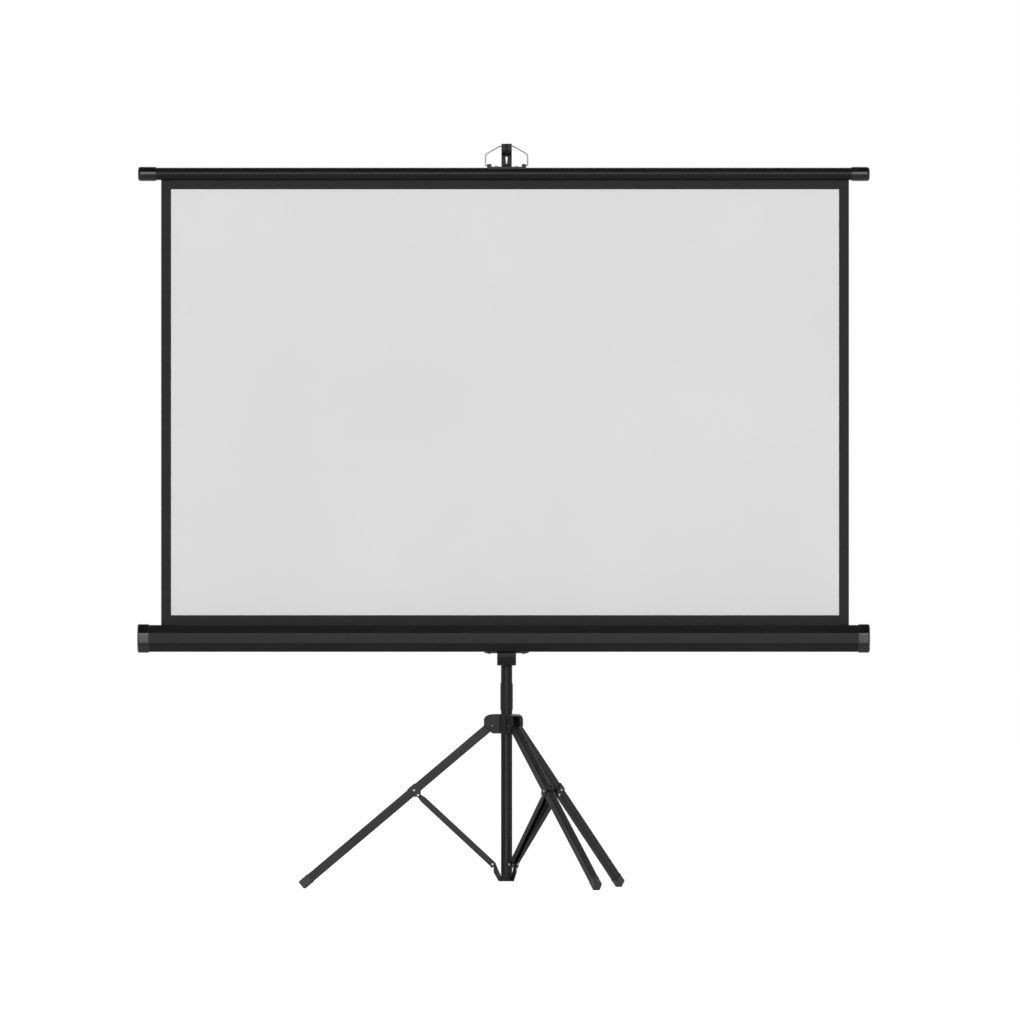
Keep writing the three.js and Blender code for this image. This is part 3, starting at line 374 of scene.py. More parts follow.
# Feet: soft dark grey plastic caps pushed over the ends of the legs.
# Each has a raised rim at its mouth and a rounded nose, and is cut level where it stands.
foot_grey = finish("foot_grey", (0.014, 0.014, 0.015), (0.028, 0.028, 0.029), (0.46, 0.62),
                   cloud=14, grain=0.8, relief=110, specular=0.35, dust=0.03)
FOOT_RIM = 3.0
FOOT_STEP = 0.5
FOOT_NOSE = 3.0
FOOT_CORNER = 5.0
nose = np.linspace(0, math.pi / 2, 7)
for spoke in spokes:
    foot = f"foot_{spoke.side}"
    low, high = extent(foot, spoke.hub, spoke.leg_axes)
    start, end = low[2], high[2]
    rim = [start, start + FOOT_STEP, start + FOOT_RIM, start + FOOT_RIM + FOOT_STEP]
    along = np.r_[rim, end - FOOT_NOSE + FOOT_NOSE * np.sin(nose)]
    inset = np.r_[FOOT_STEP, 0, 0, FOOT_STEP, FOOT_STEP + FOOT_NOSE * (1 - np.cos(nose))]
    half = (high[:2] - low[:2]) / 2
    cap = carried(box_outline(-half, half, FOOT_CORNER, 8), along, inset)
    cap[..., :2] += (low[:2] + high[:2]) / 2
    cap = placed(cap, spoke.hub, *spoke.leg_axes)
    cap[..., 2] = np.maximum(cap[..., 2], 0)
    piece(f"moulded_{foot}", spoke.leg, foot_grey, [skin(cap)], foot)

# Clips: straps of black steel sheet, folded over the legs and riveted.
# Their cheeks run down past the leg and hold the upper ends of the braces.
CLIP_WALL = 1.2
CLIP_EAR = 5.2
CLIP_CORNER = 1.5
CLIP_PROUD = 0.05
for spoke in spokes:
    across, upper, down = spoke.leg_axes
    clip = f"clip_{spoke.side}"
    low, high = extent(clip, spoke.hub, (down, upper, across))
    leg_low = extent(spoke.leg, spoke.hub, (down, upper, across))[0][1]
    pin = np.array([(low[0] + high[0]) / 2, low[1] + CLIP_EAR])
    cheek = np.vstack([
        [(low[0], high[1]), (low[0], leg_low)],
        arc(pin, CLIP_EAR, 195, 345),
        [(high[0], leg_low), (high[0], high[1])],
    ])
    plate = slab(cheek, high[2] - CLIP_WALL, high[2], 0.3)
    shells = both_sides(plate, spoke.hub, down, upper, across)
    top = box_outline((low[0], low[2]), (high[0], high[2]), CLIP_CORNER)
    strap = slab(top, high[1] - CLIP_WALL, high[1] + CLIP_PROUD, 0.3, 0.6)
    shells.append(skin(strap, spoke.hub, down, across, upper))
    piece(f"folded_{clip}", spoke.leg, tube_paint, shells, clip)

# Braces: channels pressed from black steel strip, open towards the floor.
# They hold the legs apart, between the clips and the spider.
BRACE_WALL = 1.5
BRACE_NOSE = 3.9
BRACE_TAPER = 16.0
BRACE_STEP = 1.0
for spoke in spokes:
    inward = spoke.foot - spoke.clip
    length = np.linalg.norm(inward)
    inward = inward / length
    under = np.cross(inward, spoke.across)
    half, side_face = extent(spoke.brace, spoke.clip, (inward, under, spoke.across))[1][1:]
    cheek = np.vstack([
        arc((0, 0), BRACE_NOSE, 90, 270),
        [(BRACE_TAPER, -half)],
        arc((length, 0), half, -90, 90),
        [(BRACE_TAPER, half)],
    ])
    plate = slab(cheek, side_face - BRACE_WALL, side_face, 0.2, 0.6)
    shells = both_sides(plate, spoke.clip, inward, under, spoke.across)
    nose_back = -BRACE_NOSE - BRACE_STEP
    ridge = np.array([(BRACE_NOSE, nose_back), (BRACE_TAPER, -half), (length, -half)])
    web = np.vstack([ridge, ridge[::-1] + [0, BRACE_WALL]])
    inner_face = side_face - BRACE_WALL / 2
    back = slab(web, -inner_face, inner_face, 0.1)
    shells.append(skin(back, spoke.clip, inward, under, spoke.across))
    piece(f"pressed_{spoke.brace}", spoke.brace, tube_paint, shells, spoke.brace)

# Rivets: steel pins with domed heads, blackened in the hub and bright zinc-plated elsewhere.
# They join legs to hub, clips to legs, and braces to clips and spider.
zinc_plate = finish("zinc_plate", (0.22, 0.22, 0.225), (0.36, 0.36, 0.365), (0.26, 0.4),
                    cloud=5, grain=0.4, relief=6, metallic=1.0)
black_rivet = finish("black_rivet", (0.03, 0.03, 0.031), (0.06, 0.06, 0.061), (0.24, 0.36),
                     cloud=5, grain=0.4, relief=6, metallic=1.0)
HEAD_HEIGHT = 2.0
HEAD_EDGE = 0.2
dome = np.linspace(0.02, math.pi / 2, 9)
for spoke in spokes:
    axes = (spoke.out, Z, spoke.across)
    bodies = ("mast", spoke.leg, spoke.leg, spoke.brace)
    for kind, body in zip(("hub_pin", "clip_rivet", "brace_pin", "spider_pin"), bodies):
        node = f"{kind}_{spoke.side}"
        low, high = extent(node, axes=axes)
        middle = (low + high) / 2 @ np.stack(axes)
        head = (high - low)[0] / 2
        seat = (high - low)[2] / 2 - HEAD_HEIGHT
        rise = np.c_[head * np.sin(dome), seat + HEAD_HEIGHT * np.cos(dome)]
        upper_half = np.vstack([rise, [(head - HEAD_EDGE, seat), (head / 2, seat)]])
        profile = np.vstack([upper_half, upper_half[::-1] * [1, -1]])
        piece(f"domed_{node}", body, black_rivet if body == "mast" else zinc_plate,
              [skin(turned(profile, 32), middle, *axes)], node)

# Mast: the round steel tube that everything hangs on, satin black outside.
# The extension slides in its top end and the centre post in its foot.
MAST_WALL = 1.0
mast_low, mast_high = extent("mast_tube")
mast_radius = (mast_high - mast_low)[0] / 2
mast_tube = pipe(mast_radius, mast_radius - MAST_WALL, mast_low[2], mast_high[2])
piece("painted_mast", "mast", tube_paint, [mast_tube], "mast_tube")

# Hub: one black moulding pressed on the mast, a core with an arched lobe over each leg.
# The lobes' cheeks take the rivets, and their roofs stop the legs at full spread.
HUB_WALL = 6.0
HUB_SLOT = 8.3
LOBE_HALF = 12.1
LOBE_REACH = 52.0
LOBE_BROW = 15.0
LOBE_SHOULDER = 25.0
LOBE_EDGE = 2.2
HUB_ROOF = 5.5
PIVOT_RADIUS = 32.0
(_, _, hub_bottom), (_, _, hub_top) = extent("leg_hub")
hub_bore = mast_radius + CLEARANCE
t = np.linspace(0, 1, 13)[:, None]
brow_start = np.array([LOBE_REACH, hub_top - LOBE_BROW])
brow_corner = np.array([LOBE_REACH, hub_top])
brow_end = np.array([LOBE_SHOULDER, hub_top])
brow = (1 - t) ** 2 * brow_start + 2 * t * (1 - t) * brow_corner + t**2 * brow_end
cheek = np.vstack([
    [(hub_bore + 1, hub_bottom), (PIVOT_RADIUS - 2, hub_bottom)],
    [(PIVOT_RADIUS + 2, hub_bottom + 1.5), (LOBE_REACH, spokes[0].hub[2])],
    brow,
    [(hub_bore + 1, hub_top)],
])
under_brow = brow[brow[:, 1] > hub_top - HUB_ROOF]
roof = np.vstack([
    [(hub_bore + 2, hub_top - HUB_ROOF), (under_brow[0, 0], hub_top - HUB_ROOF)],
    under_brow,
    [(hub_bore + 2, hub_top)],
])
hub_shells = [pipe(hub_bore + HUB_WALL, hub_bore, hub_bottom, hub_top, 1.2)]
cheek_plate = slab(cheek, HUB_SLOT, LOBE_HALF, 0.1, LOBE_EDGE, 5)
roof_plate = slab(roof, -HUB_SLOT - 0.5, HUB_SLOT + 0.5, 0.05)
for spoke in spokes:
    hub_shells += both_sides(cheek_plate, mast_foot, spoke.out, Z, spoke.across)
    hub_shells.append(skin(roof_plate, mast_foot, spoke.out, Z, spoke.across))
piece("moulded_hub", "mast", moulded_black, hub_shells, "leg_hub")

# Grip: a soft black sleeve on the mast above the hub, where a hand holds it to fold the legs.
# Shallow grooves run round it, and it thins towards both ends.
grip_low, grip_high = extent("grip_sleeve")
GRIP_GROOVES = 12
GRIP_GROOVE_DEPTH = 0.35
GRIP_TAPER = 9.0
GRIP_THINNING = 0.7
GRIP_RIBS_FROM = 0.6
GRIP_FIT = 0.2
grip_radius = (grip_high - grip_low)[0] / 2
height = np.linspace(grip_low[2], grip_high[2], 241)
from_end = np.minimum(height - grip_low[2], grip_high[2] - height) / GRIP_TAPER
thinned = GRIP_THINNING * (1 - np.sin(np.clip(from_end, 0, 1) * math.pi / 2))
ribbed = np.clip((from_end - GRIP_RIBS_FROM) / (1 - GRIP_RIBS_FROM), 0, 1)
phase = (height - grip_low[2]) / (grip_high[2] - grip_low[2]) * GRIP_GROOVES
groove = GRIP_GROOVE_DEPTH * ribbed * np.clip(np.cos(2 * math.pi * phase) - 0.5, 0, 1) * 2
outside = np.c_[grip_radius - thinned - groove, height]
grip_bore = mast_radius + GRIP_FIT
profile = np.vstack([outside, [(grip_bore, grip_high[2]), (grip_bore, grip_low[2])]])
grip_skin = skin(turned(profile), mast_foot, X, Y, Z, loop=True)
piece("ribbed_grip", "mast", moulded_black, [grip_skin], "grip_sleeve")

# Bracket: a moulded block that slides on the mast and is clamped there by a screw knob.
# Its arm reaches forward under the casing, and a flange spreads the casing's weight.
BRACKET_CORNER = 5.0
FLANGE_THICKNESS = 3.1
FLANGE_CHAMFER = 3.0
BRACKET_NOSE = 9.0
ARM_FOOT = 0.91
flange_low, bracket_high = extent("casing_bracket")
casing_low, casing_high = extent("casing_shell")
casing_y, casing_z = (casing_low + casing_high)[1:] / 2
flats = (casing_high - casing_low)[2]
flange_top = casing_low[2] - CLEARANCE
flange_foot = flange_top - FLANGE_THICKNESS
flange_front = flange_low[1] - mast_y
flange_back = 2 * (casing_y - mast_y) - flange_front
bracket_back = bracket_high[1] - mast_y
bracket_foot = flange_low[2]
SLEEVE_HALF = 22.0


def sleeve(outside, inside, low, high, edge):
    """A block with a hole: the outside outline rises and the inside one comes back."""
    outer = carried(outside, [low, low + edge, high - edge, high], [edge, 0, 0, edge])
    inner = carried(inside, [high, low])
    return np.vstack([outer, inner])


def evenly(outline, count):
    """The same closed outline with its points at equal steps along it."""
    closed = np.vstack([outline, outline[:1]])
    run = np.r_[0, np.cumsum(np.linalg.norm(np.diff(closed, axis=0), axis=1))]
    step = np.linspace(0, run[-1], count, endpoint=False)
    return np.c_[np.interp(step, run, closed[:, 0]), np.interp(step, run, closed[:, 1])]


block = box_outline((-SLEEVE_HALF, -bracket_back), (SLEEVE_HALF, bracket_back), BRACKET_CORNER, 8)
block = evenly(block, 128)
around = np.arctan2(block[:, 1], block[:, 0])
bore = (mast_radius + CLEARANCE) * np.c_[np.cos(around), np.sin(around)]
ring = sleeve(block, bore, bracket_foot, bracket_high[2], 1.0)
shells = [skin(ring, mast_foot, X, Y, Z, loop=True)]
arm = rounded([
    (-bracket_back + 3, bracket_foot),
    (-bracket_back + 3, flange_top),
    (flange_front, flange_top),
    (flange_front, flange_foot - BRACKET_NOSE),
    (flange_back, bracket_foot),
], [0.2, 0.2, 0.8, 3.0, 5.0], 5)
arm = placed(slab(arm, -SLEEVE_HALF, SLEEVE_HALF, 1.2), mast_foot, Y, Z, X)
drop = np.clip((flange_foot - arm[..., 2]) / (flange_top - bracket_foot), 0, 1)
arm[..., 0] = mast_x + (arm[..., 0] - mast_x) * (1 - (1 - ARM_FOOT) * drop)
shells.append(skin(arm))
flange_half = (bracket_high - flange_low)[0] / 2
flange = rounded([
    (-flange_half, flange_top),
    (-flange_half + FLANGE_CHAMFER, flange_foot),
    (flange_half - FLANGE_CHAMFER, flange_foot),
    (flange_half, flange_top),
], [0.3, 1.0, 1.0, 0.3])
shells.append(skin(slab(flange, flange_front, flange_back, 0.5), mast_foot, X, Z, Y))
piece("moulded_bracket", "casing", moulded_black, shells, "casing_bracket")

# Knobs: lobed black hand screws behind the mast, one in the bracket and one in the top collar.
# The rim is moulded round a neck and a steel screw, with a small domed cover in its middle.
KNOB_LOBES = 6
KNOB_LOBE_DEPTH = 1.6
KNOB_LENGTH = 15.0
KNOB_NECK = 6.5
SCREW_RADIUS = 3.0
COVER_RADIUS = 7.0
COVER_SUNK = 2.0
COVER_STEP = 0.4
COVER_RISE = 1.2
SCREW_CHAMFER = 0.6
NECK_LENGTH = 4.0
NECK_FLARE = 1.5
angle = np.arange(144) * 2 * math.pi / 144
dome = np.linspace(0, math.pi / 2 - 0.02, 7)
for node in ("mast_knob", "bracket_knob"):
    low, high = extent(node)
    centre = (low + high) / 2 * [1, 0, 1]
    wide = (high - low)[0] / 2
    radius = wide - KNOB_LOBE_DEPTH * (1 - np.cos(KNOB_LOBES * angle)) / 2
    rim = np.c_[radius * np.cos(angle), radius * np.sin(angle)]
    front, end = high[1] - KNOB_LENGTH, high[1]
    cover = np.vstack([
        [(COVER_RADIUS, end - COVER_SUNK)],
        np.c_[COVER_RADIUS * np.cos(dome), end - COVER_STEP + COVER_RISE * np.sin(dome)],
    ])
    stem = [
        (SCREW_RADIUS - SCREW_CHAMFER, low[1]),
        (SCREW_RADIUS, low[1] + SCREW_CHAMFER),
        (SCREW_RADIUS, front - NECK_LENGTH),
        (KNOB_NECK, front - NECK_LENGTH),
        (KNOB_NECK, front - 1),
        (KNOB_NECK + NECK_FLARE, front + 1),
    ]
    parts = (slab(rim, front, end, 1.2, 2.4, 5), turned(cover, 48), turned(stem, 48))
    shells = [skin(part, centre, X, Z, Y) for part in parts]
    piece(f"lobed_{node}", node, moulded_black, shells, node)

# Casing: an eight-sided tube of black-painted sheet, rolled with soft corners.
# A slot along its top lets the cloth out, a little behind the middle.
casing_paint = finish("casing_paint", (0.007, 0.007, 0.0073), (0.01, 0.01, 0.0103), (0.3, 0.38),
                      cloud=120, grain=0.9, relief=28, specular=0.1, dust=0.008)
CASING_WALL = 1.2
CASING_SLOT = 5.0
OUTER_EASE = 2.4
INNER_EASE = 1.4
SLOT_EASE = 0.3
SLOT_CORNER_EASE = 0.7
cloth_low, cloth_high = extent("screen_cloth")
cloth_y = (cloth_low + cloth_high)[1] / 2


def octagon(across_flats):
    """Corners of an eight-sided outline with a level top, from its upper back corner down."""
    corner = (1.5 - np.arange(8)) * math.pi / 4
    radius = across_flats / 2 / math.cos(math.pi / 8)
    return radius * np.c_[np.cos(corner), np.sin(corner)]


slot_back = cloth_y - casing_y + CASING_SLOT / 2
slot_front = slot_back - CASING_SLOT
outer = octagon(flats)
inner = outer * (1 - 2 * CASING_WALL / flats)
section = np.vstack([
    [(slot_back, flats / 2)],
    outer,
    [(slot_front, flats / 2), (slot_front, flats / 2 - CASING_WALL)],
    inner[::-1],
    [(slot_back, flats / 2 - CASING_WALL)],
])
slot_ease = [SLOT_EASE, SLOT_CORNER_EASE]
ease = slot_ease + [OUTER_EASE] * 7 + [SLOT_EASE] * 2 + [INNER_EASE] * 7 + slot_ease[::-1]
casing_middle = np.array([0, casing_y, casing_z])
shell = carried(rounded(section, ease, 4), [casing_low[0], casing_high[0]])
shells = [skin(shell, casing_middle, Y, Z, X)]
piece("painted_casing", "casing", casing_paint, shells, "casing_shell", crease=25)

# End caps: semi-gloss black mouldings pushed over both ends of the casing.
# Their outer faces are slightly domed, and they hold the roller's shaft and pin inside.
gloss_black = finish("gloss_black", (0.003, 0.003, 0.0032), (0.006, 0.006, 0.0063), (0.2, 0.3),
                     cloud=30, grain=0.6, relief=6, specular=0.28, dust=0.006)
CAP_DOME = 4.0
CAP_FACE = 0.62
CAP_CORNER = 4.5
CAP_LIP = np.array([0, 0.5, 1.4, 1.9])
CAP_LIP_INSET = (0.5, 0, 0, 0.4)
dome = np.linspace(0, math.pi / 2, 9)
for side, sign in (("left", -1), ("right", 1)):
    node = f"casing_cap_{side}"
    low, high = extent(node)
    mouth, end = (low[0], high[0])[::sign]
    along = np.r_[mouth + sign * CAP_LIP, end - sign * CAP_DOME * (1 - np.sin(dome))]
    inset = np.r_[CAP_LIP_INSET, np.full(len(dome), CAP_LIP_INSET[-1])]
    scale = np.r_[np.ones(len(CAP_LIP)), 1 - (1 - CAP_FACE) * (1 - np.cos(dome))]
    outline = rounded(octagon((high - low)[2]), CAP_CORNER, 5)
    shells = [skin(carried(outline, along, inset, scale), casing_middle, Y, Z, X)]
    piece(f"gloss_cap_{side}", "casing", gloss_black, shells, node)

# Casing screws: two pan heads under the flange, driven up into the casing.
# Two more of them hold the bail's plate on the top bar.
PAN_HEIGHT = 2.0
SHANK_RADIUS = 2.0
SHANK_CHAMFER = 0.4
for node, body, inside in (
    ("casing_screw_left", "casing", 1),
    ("casing_screw_right", "casing", 1),
    ("bail_screw_left", "top_bar", -1),
    ("bail_screw_right", "top_bar", -1),
):
    low, high = extent(node)
    middle = (low + high) / 2 * [1, 1, 0]
    head_end, tip = (low[2], high[2])[::inside]
    head = (high - low)[0] / 2
    profile = [
        (0.05, head_end),
        (head * 0.55, head_end + inside * 0.15),
        (head * 0.9, head_end + inside * 0.7),
        (head, head_end + inside * 1.4),
        (head, head_end + inside * PAN_HEIGHT),
        (SHANK_RADIUS, head_end + inside * PAN_HEIGHT),
        (SHANK_RADIUS, tip - inside * SHANK_CHAMFER),
        (SHANK_RADIUS - SHANK_CHAMFER, tip),
    ]
    piece(f"pan_{node}", body, zinc_plate,
          [skin(turned(profile, 32), middle, X, Y, Z)], node)

# Roller plugs and hem rod: plain black mouldings, out of sight in the casing and top bar.
# The plugs turn on the spring's shaft and the idle pin, and the rod keeps the hem in its slot.
dress(moulded_black, "spring_plug", "idle_plug", "hem_rod")

# Cloth: coated white fabric with a printed black border and a black back.
# The spring roller keeps it stretched up to the top bar, so it stays flat but for a faint wave.
CLOTH_HALF = 0.25
BORDER_SIDE = 23.0
BORDER_TOP = 21.0
BORDER_BOTTOM = 22.6
WEAVE_PITCH = 0.7
WAVE_HEIGHT = 0.6
BORDER_BLACK = (0.017, 0.016, 0.016, 1)
WAVES = 2.3
WAVE_LEAN = 0.25
EDGE_CURL = 1.6
cloth_left, _, cloth_start = cloth_low
cloth_wide = cloth_high[0] - cloth_left
cloth_end = cloth_high[2]
casing_top = casing_high[2]
bar_low = extent("top_bar")[0][2]


def cloth_place(tree):
    """Width and length along the cloth in metres, as X and Y, from its UV."""
    place = add(tree, "UVMap", uv_map="cloth_metres")
    return add(tree, "SeparateXYZ", {"Vector": place["UV"]})


def weave_group():
    """Height of a plain weave from UV in metres: crossed sine ridges of warp and weft."""
    group, given, result = group_of("plain_weave", ["Pitch"], ["Height"])
    place = cloth_place(group)
    ridges = []
    for direction in "XY":
        threads = maths(group, "DIVIDE", place[direction], given["Pitch"])
        ridges.append(maths(group, "SINE", maths(group, "MULTIPLY", threads, math.pi)))
    feed(group, result, {"Height": maths(group, "MULTIPLY", *ridges)})
    return group


plain_weave = weave_group()


def woven(name, dark, light, cloud, roughness, relief):
    """A cloth finish: a cloudy tint between two colours, with the weave as bump.
    Cloud is in millimetres and relief in microns. Returns also the tree, shader and tint."""
    material, tree, shader = new_material(name)
    noises = add(tree, "Group", {"Cloud Scale": 1 / (cloud * MM)}, node_tree=surface_grain)
    tint = mixed(tree, noises["Cloud"], (*dark, 1), (*light, 1))
    weave = add(tree, "Group", {"Pitch": WEAVE_PITCH * MM}, node_tree=plain_weave)
    bump = add(tree, "Bump", {"Height": weave["Height"], "Distance": relief * MM * MM})
    feed(tree, shader, {
        "Base Color": tint,
        "Roughness": roughness,
        "Specular IOR Level": 0.25,
        "Normal": bump["Normal"],
    })
    return material, tree, shader, tint


def screen_front():
    """White matt coating where UV in metres is inside the printed border, which is black."""
    material, tree, shader, white = woven("screen_front", (0.7, 0.7, 0.7), (0.73, 0.73, 0.73),
                                          cloud=420, roughness=0.8, relief=25)
    place = cloth_place(tree)
    inside = []
    for axis, low, high in (
        ("X", BORDER_SIDE, cloth_wide - BORDER_SIDE),
        ("Y", casing_top + BORDER_BOTTOM - cloth_start, bar_low - BORDER_TOP - cloth_start),
    ):
        middle, reach = (low + high) / 2 * MM, (high - low) / 2 * MM
        inside.append(maths(tree, "COMPARE", place[axis], middle, reach))
    picture = maths(tree, "MULTIPLY", *inside)
    feed(tree, shader, {"Base Color": mixed(tree, picture, BORDER_BLACK, white)})
    return material


screen_white = screen_front()
screen_black = woven("screen_back", (0.016, 0.016, 0.017), (0.024, 0.024, 0.025),
                     cloud=300, roughness=0.7, relief=35)[0]


def cloth_panel(name, low, high, setback=0.0, rows=120, columns=160):
    """A thin closed sheet over a grid of width and height, its cut edges finished like its front.
    It stands forward in waves that fade out at the casing and the bar, and its sides curl forward.
    UV is its own width and length in metres."""
    across, up = np.meshgrid(np.linspace(0, 1, columns), np.linspace(low, high, rows))
    x = cloth_left + across * cloth_wide
    share = np.clip((up - casing_top) / (bar_low - casing_top), 0, 1)
    slack = np.sin(math.pi * share)
    wave = WAVE_HEIGHT * slack * (1 + np.sin(2 * math.pi * (WAVES * across + WAVE_LEAN * share)))
    curl = EDGE_CURL * slack * ((2 * across - 1) ** 8)
    y = cloth_y + setback - wave - curl
    sides = [np.stack([x, y + half, up], axis=-1) for half in (-CLOTH_HALF, CLOTH_HALF)]
    points = np.vstack(sides).reshape(-1, 3)
    index = np.arange(rows * columns).reshape(rows, columns)
    face = np.stack([index[:-1, :-1], index[:-1, 1:], index[1:, 1:], index[1:, :-1]], axis=-1)
    face = face.reshape(-1, 4)
    rim = np.r_[index[0], index[1:, -1], index[-1, -2::-1], index[-2:0:-1, 0]]
    after = np.roll(rim, -1)
    behind = rows * columns
    edge = np.stack([rim, rim + behind, after + behind, after], axis=-1)
    faces = np.vstack([face, face[:, ::-1] + behind, edge])
    mesh = bpy.data.meshes.new(name)
    mesh.from_pydata(points * MM, [], faces.tolist())
    mesh.materials.append(screen_white)
    mesh.materials.append(screen_black)
    finish_index = np.repeat([0, 1, 0], [len(face), len(face), len(edge)])
    mesh.polygons.foreach_set("material_index", finish_index)
    flat = (points[:, [0, 2]] - [cloth_left, cloth_start]) * MM
    mesh.uv_layers.new(name="cloth_metres").data.foreach_set("uv", flat[faces.ravel()].ravel())
    mesh.shade_smooth()
    mesh.set_sharp_from_angle(angle=math.radians(40))
    made = linked(name, mesh)
    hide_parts("screen_cloth")
    return made


# Lower stretch of the cloth, from the roller to a seam that only the motion needs.
# It rides on the casing, and winds back into it as that slides up the mast.
LOWER_STRETCH = 400.0
HEM_OVERLAP = 26.0
seam = cloth_start + LOWER_STRETCH
hem = bar_low - BORDER_TOP
lower = cloth_panel("cloth_lower", cloth_start, seam)
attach(lower, "casing")
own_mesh(lower)

# Upper stretch of the cloth, from that seam to the hem.
# It stands on the mast, and winds away as the extension comes down.
upper = cloth_panel("cloth_upper", seam, hem)
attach(upper, "mast")
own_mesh(upper)

# Hem of the cloth: its top edge, held by a rod in the bar's slot.
# It goes up and down with the bar, and its tail lies just behind the upper stretch.
hem_strip = cloth_panel("cloth_hem", hem - HEM_OVERLAP, cloth_end, 3 * CLOTH_HALF, rows=24)
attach(hem_strip, "top_bar")

# Cloth on the roller: the last turns of the same cloth, wound tight on the roller's tube.
# It is a spiral sheet, hidden in the casing but for its top behind the slot.
roll_low, roll_high = extent("cloth_roll")
roll_middle = (roll_low + roll_high) / 2 * [0, 1, 1]
roll_radius = (roll_high - roll_low)[2] / 2
core_low, core_high = extent("roller_tube")
core_radius = (core_high - core_low)[2] / 2
ROLL_TURNS = 3.5
ROLL_GAP = 0.5
ROLL_ROOM = 0.8
wound = np.linspace(0, ROLL_TURNS * 2 * math.pi, 240)
winding = core_radius + ROLL_GAP + (roll_radius - core_radius - ROLL_ROOM) * wound / wound[-1]
around = np.c_[np.cos(wound), np.sin(wound)]
outside = (winding + CLOTH_HALF)[:, None] * around
inside = (winding - CLOTH_HALF)[:, None] * around
ribbon = np.vstack([outside, inside[::-1]])
shells = [skin(carried(ribbon, [roll_low[0], roll_high[0]]), roll_middle, Y, Z, X)]
wound_cloth = piece("wound_cloth", "roller", screen_black, shells, "cloth_roll")

# Extension: the thinner steel tube that slides in the mast and lifts the top bar.
# It has the mast's satin black coat, a little polished by sliding.
EXTENSION_WALL = 1.0
low, high = extent("extension_tube")
extension_radius = (high - low)[0] / 2
extension = pipe(extension_radius, extension_radius - EXTENSION_WALL, low[2], high[2])
piece("painted_extension", "extension", tube_paint, [extension], "extension_tube")

# Collar: a black moulding on the mast's top end that guides the extension.
# A boss behind it takes the screw knob that clamps the extension.
BOSS_HALF = 9.0
BOSS_CORNER = 3.5
COLLAR_DRAFT = 0.8
COLLAR_SKIRT = 4.0
COLLAR_NECK = 2.5
COLLAR_SHOULDER = 7.0
low, high = extent("mast_collar")
collar_radius = mast_x - low[0]
mast_end = mast_high[2] + CLEARANCE
collar_bore = extension_radius + CLEARANCE
profile = rounded([
    (hub_bore, low[2]),
    (collar_radius - COLLAR_DRAFT, low[2]),
    (collar_radius, low[2] + COLLAR_SKIRT),
    (collar_radius, high[2] - COLLAR_SHOULDER),
    (collar_radius - COLLAR_NECK, high[2]),
    (collar_bore, high[2]),
    (collar_bore, mast_end),
    (hub_bore, mast_end),
], [0.2, 1.0, 1.0, 1.5, 1.2, 0.3, 0.1, 0.1], 4)
knob_low, knob_high = extent("mast_knob")
clamp_z = (knob_low + knob_high)[2] / 2
boss = slab(box_outline((-BOSS_HALF, -BOSS_HALF), (BOSS_HALF, BOSS_HALF), BOSS_CORNER),
            collar_radius - 3, high[1] - mast_y, 0.1, 1.0)
shells = [skin(turned(profile), mast_foot, X, Y, Z, loop=True)]
shells.append(skin(boss, mast_foot + clamp_z * Z, X, Z, Y))
piece("moulded_collar", "mast", moulded_black, shells, "mast_collar")

# Hook: a black moulding plugged into the extension, with a tapered window through its neck.
# Its arm reaches over the top bar, and the bail's wire sits in the notch behind the lip.
# A half-round bead runs down a groove in the middle of the lip.
HOOK_HALF = 12.0
HOOK_SPIGOT = 28.0
HOOK_LIP = 8.0
HOOK_LIP_THICKNESS = 4.0
HOOK_NOTCH = 12.0
HOOK_ARM = 14.0
HOOK_CHAMFER = 4.0
GROOVE_HALF = 1.8
GROOVE_DEPTH = 2.0
BEAD_GAP = 0.1
BAND_LAP = 0.7
SPIGOT_FIT = 1.4
WINDOW_SILL = 4.0
WINDOW_HEIGHT = 16.0
WINDOW_FOOT = 2.0
WINDOW_TOP = 5.0
low, high = extent("hook_head")
neck_low = low[2] + HOOK_SPIGOT
hook_top = high[2]
notch = hook_top - HOOK_LIP
arm_low = notch - HOOK_ARM
notch_back = cloth_y - mast_y + HOOK_NOTCH / 2
notch_front = notch_back - HOOK_NOTCH
lip = notch_front - HOOK_LIP_THICKNESS


def hook_band(left, right, front, edge=0.6):
    """The hook's side outline from left to right, its lip's face at front and its sides eased."""
    outline = rounded([
        (HOOK_HALF, arm_low - HOOK_CHAMFER),
        (HOOK_HALF, hook_top - HOOK_CHAMFER),
        (HOOK_HALF - HOOK_CHAMFER, hook_top),
        (notch_back, hook_top),
        (notch_back, notch),
        (notch_front, notch),
        (notch_front, hook_top),
        (front, hook_top),
        (front, notch - HOOK_LIP),
        (notch_front, arm_low),
        (-HOOK_HALF - HOOK_CHAMFER, arm_low),
        (-HOOK_HALF, arm_low - HOOK_CHAMFER),
    ], [0.1, 1.5, 1.5, 1.2, 1.5, 1.0, 0.8, 0.8, 1.5, 1.5, 1.5, 0.1], 4)
    return skin(slab(outline, left, right, edge), mast_foot, Y, Z, X)


